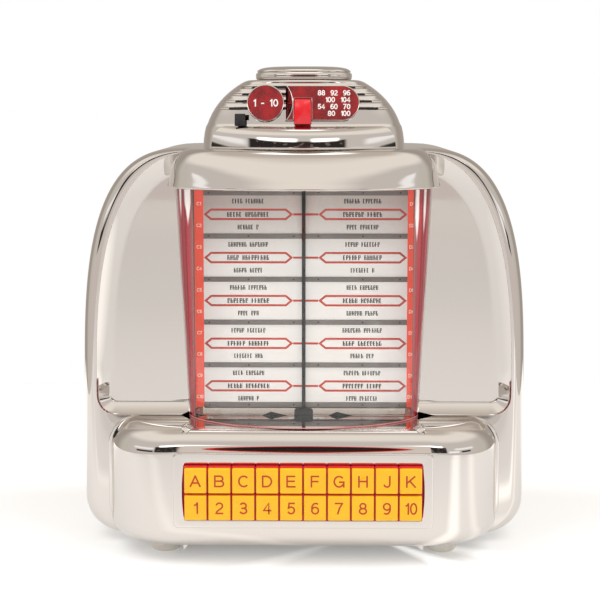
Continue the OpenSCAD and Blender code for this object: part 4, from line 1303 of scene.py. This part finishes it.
def makeHood():
    h = hood
    rings = []
    for rise, side, front in h["rings"]:
        power = h["power"] + h["squarer"] * rise
        rings.append(level(ovalPlan(h["half"] - side, h["front"] + front, h["back"], power, 150),
                           h["lip"] + rise))
    piece = drawRings("hood", rings)
    editFaces(piece, lambda m, n: n.z < -0.95)  # hollow underneath, with a flat ceiling over the window
    bpy.ops.mesh.inset(thickness=h["wall"] * mm)
    bpy.ops.mesh.extrude_region_move(TRANSFORM_OT_translate={"value": (0, 0, h["ceiling"] * mm)})
    leaveEdit()
    smoothPiece(piece, 45)
    splitPaint(piece, "chrome", "whiteBoard", lambda face: face.normal.z < -0.95 and len(face.vertices) > 8)
    seat(piece, "chassis", "chrome_plate", "hood")


makeHood()
print("hood done")

# crown, apron and cap

# grooveRings and ribRings give the rise over a groove's middle and the share of the full depth or bulge
crown = {"half": 64.9, "foot": 257.7, "riseTo": 51.5, "shrink": 2.2, "front": -60, "lean": 0.18, "back": 34,
         "backLean": 0.42, "powers": (3.85, 4, 3.92), "ledge": 272.3, "top": 300.7, "ledgeInset": 0.5,
         "insideRings": ((298.4, 11.4), (298.2, 5.4), (296.5, 3.4), (290, 3.4), (282, 3.4), (274, 3.4),
                         (265.7, 2.4), (257.7, 2.4)),
         "topRings": ((-1.4, 0.5), (-0.9, 0.62), (-0.45, 0.95), (-0.12, 1.5), (0, 2.3), (0.05, 4), (0.1, 8)),
         "grooves": (283.0, 287.4, 291.75, 296.1), "grooveDepth": 1.3, "grooveEnd": 2.2, "grooveFade": 3.2,
         "grooveRings": ((-1.1, 0.05), (-0.8, 0.25), (-0.64, 0.7), (-0.6, 1.0), (0.5, 1.0), (0.54, 0.5),
                         (0.6, 0.16), (0.78, 0.02), (1.15, 0)),
         "bulge": 0.3, "ribRings": ((1.6, 0.55), (2.2, 0.85), (2.6, 1.0), (3.0, 0.85), (3.3, 0.55))}


def crownPlan(z, inset, groove=0.0, count=168):
    # squarish oval of the crown at one height; a groove fades out before it reaches the sides
    c = crown
    half = c["half"] * math.sqrt(1 - ((z - c["foot"]) / c["riseTo"]) ** c["shrink"]) - inset
    front = c["front"] + c["lean"] * (z - c["foot"]) + inset
    back = c["back"] - c["backLean"] * (z - c["foot"]) - inset
    across, along, root = c["powers"]
    points = []
    for sine, cosine in turns(*[i / 2 for i in range(720)]):
        w = (abs(cosine) ** across + abs(sine) ** along) ** (1 / root)
        x, y = half * cosine / w, (front + back) / 2 + (back - front) / 2 * sine / w
        share = min(1, max(0, (half - c["grooveEnd"] - abs(x)) / c["grooveFade"]))
        points.append((x, y - math.copysign(groove * share, sine), z))
    return evenly(points + [points[0]], count)[:-1]


def makeCrown():
    # the inside from its ceiling down, round the foot, and the grooved outside up to the top
    c = crown
    foot, ledge, top, inset = c["foot"], c["ledge"], c["top"], c["ledgeInset"]
    rings = [crownPlan(*ring) for ring in c["insideRings"]]
    rings += [crownPlan(z, 0) for z in (foot, foot + 5, foot + 10, ledge - 1.4)]
    rings += [crownPlan(ledge - 0.4, 0.1), crownPlan(ledge + 0.4, 0.45), crownPlan(ledge + 1.2, inset)]
    rings += [crownPlan(z, inset) for z in (276, 279.5, 281.9)]
    for z in c["grooves"]:
        rings += [crownPlan(z + rise, inset, c["grooveDepth"] * depth) for rise, depth in c["grooveRings"]]
        rings += [crownPlan(z + rise, inset, -c["bulge"] * bulge) for rise, bulge in c["ribRings"]
                  if z + rise < top - 1.6]
    rings += [crownPlan(top + rise, end) for rise, end in c["topRings"]]
    piece = drawRings("crownShell", rings)
    cutOut(piece, *button["cutOut"])
    cutOut(piece, *slider["cutOut"])
    smoothPiece(piece, 42)

    def dark(face):
        # the floors of the grooves get the black finish: painted shade
        heights = [piece.data.vertices[v].co.z / mm for v in face.vertices]
        return any(abs(face.center.z / mm - z + 0.05) < 0.05 for z in c["grooves"]) \
            and 1.0 < max(heights) - min(heights) < 1.2 and abs(face.center.x / mm) < c["half"] - 3 \
            and abs(face.normal.y) > 0.8

    splitPaint(piece, "chrome", "black", dark)
    seat(piece, "chassis", "chrome_plate", "crown_shell")


def cutOut(piece, middle, size):
    # removes the room of a box
    deselectAll()
    bpy.ops.mesh.primitive_cube_add(size=1, location=Vector(middle) * mm, scale=Vector(size) * mm)
    cutter = nameNew("cutter")
    settle(cutter)
    useModifier(piece, "BOOLEAN", operation="DIFFERENCE", object=cutter, solver="EXACT")
    bpy.data.objects.remove(cutter)


button = {"x": -0.5, "z": 280.9, "size": (10.2, 15.2), "front": -64.5, "back": -49, "slot": (5.4, 7.9),
          "cutOut": ((-0.5, -55, 280.9), (10.8, 30, 15.8))}
slider = {"x": -39.4, "z": 275.8, "size": (6.6, 7.6), "thick": 1.7, "stemZ": 277.2, "stem": (5, 2.6),
          "stemBack": -45, "cutOut": ((-38.2, -54, 277.2), (8.6, 14, 3.4))}

makeCrown()
print("crown done")

apron = {"half": 57.7, "front": -69, "back": -54, "rear": 4, "foot": 257.7,
         "rings": ((0, 0.5), (0.2, 0.1), (0.4, 0), (1.6, 0.12), (2.8, 0.24), (4.0, 0.39), (5.2, 0.56),
                   (6.4, 0.76), (7.6, 0.98), (8.6, 1.22), (9.5, 1.55), (10.4, 2.05), (11.2, 2.65),
                   (12, 3.4), (12.7, 4.3), (13.3, 5.4), (13.75, 6.6), (14.05, 8.1), (14.15, 10))}


def makeApron():
    a = apron
    rings = []
    for rise, inset in a["rings"]:
        half, front = a["half"] - inset, a["front"] + inset
        reach = a["back"] - front
        radius = (half * half + reach * reach) / (2 * reach)
        limit = math.degrees(math.asin(min(1, half / radius)))
        curve = evenly(arc(0, front + radius, radius, radius, limit - 90, -limit - 90, 200), 110)
        rear = evenly([curve[-1], (-half, a["rear"]), (half, a["rear"]), curve[0]], 40)[1:-1]
        rings.append(level(curve + rear, a["foot"] + rise))
    complete(drawRings("crownApron", rings), 60, "chrome", "chrome_plate", "crown_apron")


makeApron()

cap = {"middle": -11, "power": 3.33, "rings": (
    (301, 29.5, 25.3), (301.3, 30.6, 26.4), (302, 31.1, 26.9), (303.6, 31.3, 27.1), (304.9, 31.2, 27),
    (305.5, 30.9, 26.7), (305.8, 30.2, 26), (306.1, 30.1, 25.9), (306.5, 30.5, 26.3), (307.2, 30.2, 26),
    (307.9, 29.3, 25.1), (308.6, 27.6, 23.4), (309.2, 25, 20.8), (309.6, 21.4, 17.2), (309.85, 16.4, 12.8),
    (310, 9, 7))}


def makeCap():
    rings = [level(evenly(oval(0, cap["middle"], half, depth, cap["power"]), 120)[:-1], z)
             for z, half, depth in cap["rings"]]
    complete(drawRings("crownCap", rings), 60, "chrome", "chrome_plate", "crown_cap")


makeCap()

badges = {"z": 286.1, "discX": -23.6, "discRadius": 11.6, "plateRight": 23.8, "plateHalf": 11.1,
          "hollow": 16.6, "rim": 0.55, "round": 0.3, "depth": 1.5, "markDepth": 1.4,
          "discMark": (4.0, 0.75, 0.3), "plateMark": (2.8, 0.6, 0.24),
          "lines": ("88  92  96", "100  104", "54  60  70", "80  100"), "lineEnd": 28.8, "lineTop": 6.3,
          "linePitch": 4.3}


def ontoCrown(piece):
    # from a flat drawing facing the front to the crown's leaning face, at the height of the disc
    lean = crown["lean"]
    spot = Vector((0, crown["front"] + lean * (badges["z"] - crown["foot"]), badges["z"])) * mm
    chooseOnly(piece)
    piece.matrix_world = Matrix.Translation(spot) @ Matrix.Rotation(-math.atan(lean), 4, "X")
    settle(piece)
    return piece


def makeBadge(name, outline):
    # raised plate with a thin bright edge round its lacquered face
    b = badges
    front, r = -b["depth"], b["round"]
    rings = [upright(outline, 0.5), upright(outline, front + r)]
    for s, c in turns(30, 60, 90):
        rings.append(upright(pushed(outline, -r * (1 - c)), front + r * (1 - s)))
    rings += [upright(pushed(outline, -b["rim"]), front), upright(pushed(outline, -b["rim"] - 0.1),
                                                                  front + 0.15)]
    piece = drawRings(name, rings)
    splitPaint(piece, "chrome", "lacquer", lambda face: face.normal.y < -0.9 and len(face.vertices) > 8)
    return ontoCrown(piece)


def numerals(words, middle, shape, **options):
    height, weight, gap = shape
    mark = lettering("mark", words, height, middle, -badges["markDepth"], weight, gap=gap, **options)
    paint(mark, finishes["numerals"])
    return ontoCrown(mark)


def makeDisc():
    b = badges
    piece = makeBadge("coinDisc", arc(b["discX"], 0, b["discRadius"], b["discRadius"], -90, 270, 90)[:-1])
    whole = joinPieces([piece, numerals("1 - 10", (b["discX"], 0), b["discMark"])], "coinDisc")
    smoothPiece(whole, 30)
    seat(whole, "chassis", "disc_red", "coin_disc")


def makePlate():
    # hollow towards the disc, round at its right end, with a slot for the button from below
    b = badges
    r, end = b["plateHalf"], math.degrees(math.asin(b["plateHalf"] / b["hollow"]))
    hollow = arc(b["discX"], 0, b["hollow"], b["hollow"], end, -end, 60)
    right = arc(b["plateRight"], 0, r, r, -90, 90, 36)
    side, rise = button["slot"]
    left, over, top = button["x"] - side, button["x"] + side, button["z"] + rise - b["z"]
    outline = chain(hollow, evenly([hollow[-1], (left, -r)], 8), evenly([(left, -r), (left, top)], 12),
                    evenly([(left, top), (over, top)], 10), evenly([(over, top), (over, -r)], 12),
                    evenly([(over, -r), right[0]], 16), right, evenly([right[-1], hollow[0]], 20))[:-1]
    parts = [makeBadge("dialPlate", outline)]
    for i, words in enumerate(b["lines"]):
        parts.append(numerals(words, (b["lineEnd"], b["lineTop"] - i * b["linePitch"]), b["plateMark"],
                              align="RIGHT"))
    whole = joinPieces(parts, "dialPlate")
    smoothPiece(whole, 30)
    seat(whole, "chassis", "plate_red", "dial_plate")


makeDisc()
makePlate()


def makeButton():
    b = button
    w, h = b["size"]
    x, z, front, back = b["x"], b["z"], b["front"], b["back"]
    head = roundedBox("head", (x, (front + back) / 2, z), (w, back - front, h), 0.6, edge=0.35)
    collar = roundedBox("collar", (x, back - 0.6, z), (14, 1.2, 18.6), 0.3)
    peg = disc("peg", (x, back + 0.9, z), 2, 1.8, vertices=24)
    gather([head, collar, peg], "selectButton", "button", "select_button", "button_red", "select_button")


def makeSlider():
    # the head leans with the crown's face and slides in front of it, on a stem through the slot
    s = slider
    w, h = s["size"]
    thick, back, lean = s["thick"], s["stemBack"], crown["lean"]
    face = crown["front"] + lean * (s["z"] - crown["foot"]) + crown["ledgeInset"]
    head = roundedBox("head", (0, 0, 0), (w, thick, h), 0.5, edge=0.3)
    spot = Vector((s["x"], face - 0.15 - thick / 2, s["z"])) * mm
    head.matrix_world = Matrix.Translation(spot) @ Matrix.Rotation(-math.atan(lean), 4, "X")
    settle(head)
    front, (width, height) = face - 1.2, s["stem"]
    stem = roundedBox("stem", (s["x"], (front + back) / 2, s["stemZ"]), (width, back - front, height), 0.2)
    gather([head, stem], "lightSlider", "black", "light_slider", "black_plastic", "light_slider")


makeButton()
makeSlider()
print("crown trim done")

# feet, back and what is kept from the frame

feet = {"x": 88.7, "ys": (-47, 62), "radius": 9.5, "height": 8.5, "edge": 1.6}


def makeFeet():
    f = feet
    foot = disc("foot", (0, 0, f["height"] / 2), f["radius"], f["height"], axis="Z", vertices=48)
    bevelEdges(foot, lambda a, b: max(a.z, b.z) < near, f["edge"], 4)
    copies = [copyPiece(foot, "foot", (x, y, 0)) for x in (-f["x"], f["x"]) for y in f["ys"]]
    bpy.data.objects.remove(foot)
    piece = joinPieces(copies, "feet")
    smoothPiece(piece, 50)
    gather([piece], "feet", "foot", "chassis", "foot_rubber", "feet")


makeFeet()


def refine(node, body, slot, finish):
    # a merged, smoothly shaded copy of a frame solid
    chooseOnly(cadNodes[node])
    bpy.ops.object.duplicate()
    copy = bpy.context.object
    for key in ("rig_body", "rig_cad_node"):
        if key in copy:
            del copy[key]
    first, *others = node.split("_")
    copy.parent = None
    copy.name = copy.data.name = first + "".join(word.capitalize() for word in others)
    enterEdit(copy, "VERT", "SELECT")
    bpy.ops.mesh.remove_doubles(threshold=0.00002)
    bpy.ops.mesh.dissolve_limited(angle_limit=math.radians(0.5))
    leaveEdit()
    smoothPiece(copy, 30)
    useModifier(copy, "WEIGHTED_NORMAL", keep_sharp=True)
    paint(copy, finishes[finish])
    seat(copy, body, slot, node)


refine("rear_cover", "chassis", "back_plastic", "grained")
refine("volume_knob", "volume_knob", "black_plastic", "black")
refine("tuning_knob", "tuning_knob", "black_plastic", "black")
refine("rear_screws", "chassis", "control_steel", "steel")

kept = {"key_guide": "keyRed", "key_circuit_board": "board", "title_board": "whiteBoard",
        "lamp_board": "whiteBoard", "head_switches": "board", "left_speaker_frame": "darkSteel",
        "right_speaker_frame": "darkSteel", "left_speaker_cone": "cone", "right_speaker_cone": "cone",
        "main_circuit_board": "board", "volume_control": "steel", "tuning_capacitor": "steel",
        "power_jack": "black", "audio_jack": "black", "antenna_rod": "ferrite", "inner_screws": "steel"}
for node, finish in kept.items():
    for holder in cadNodes[node].material_slots:
        holder.material = finishes[finish]
print("kept nodes finished:", len(kept))
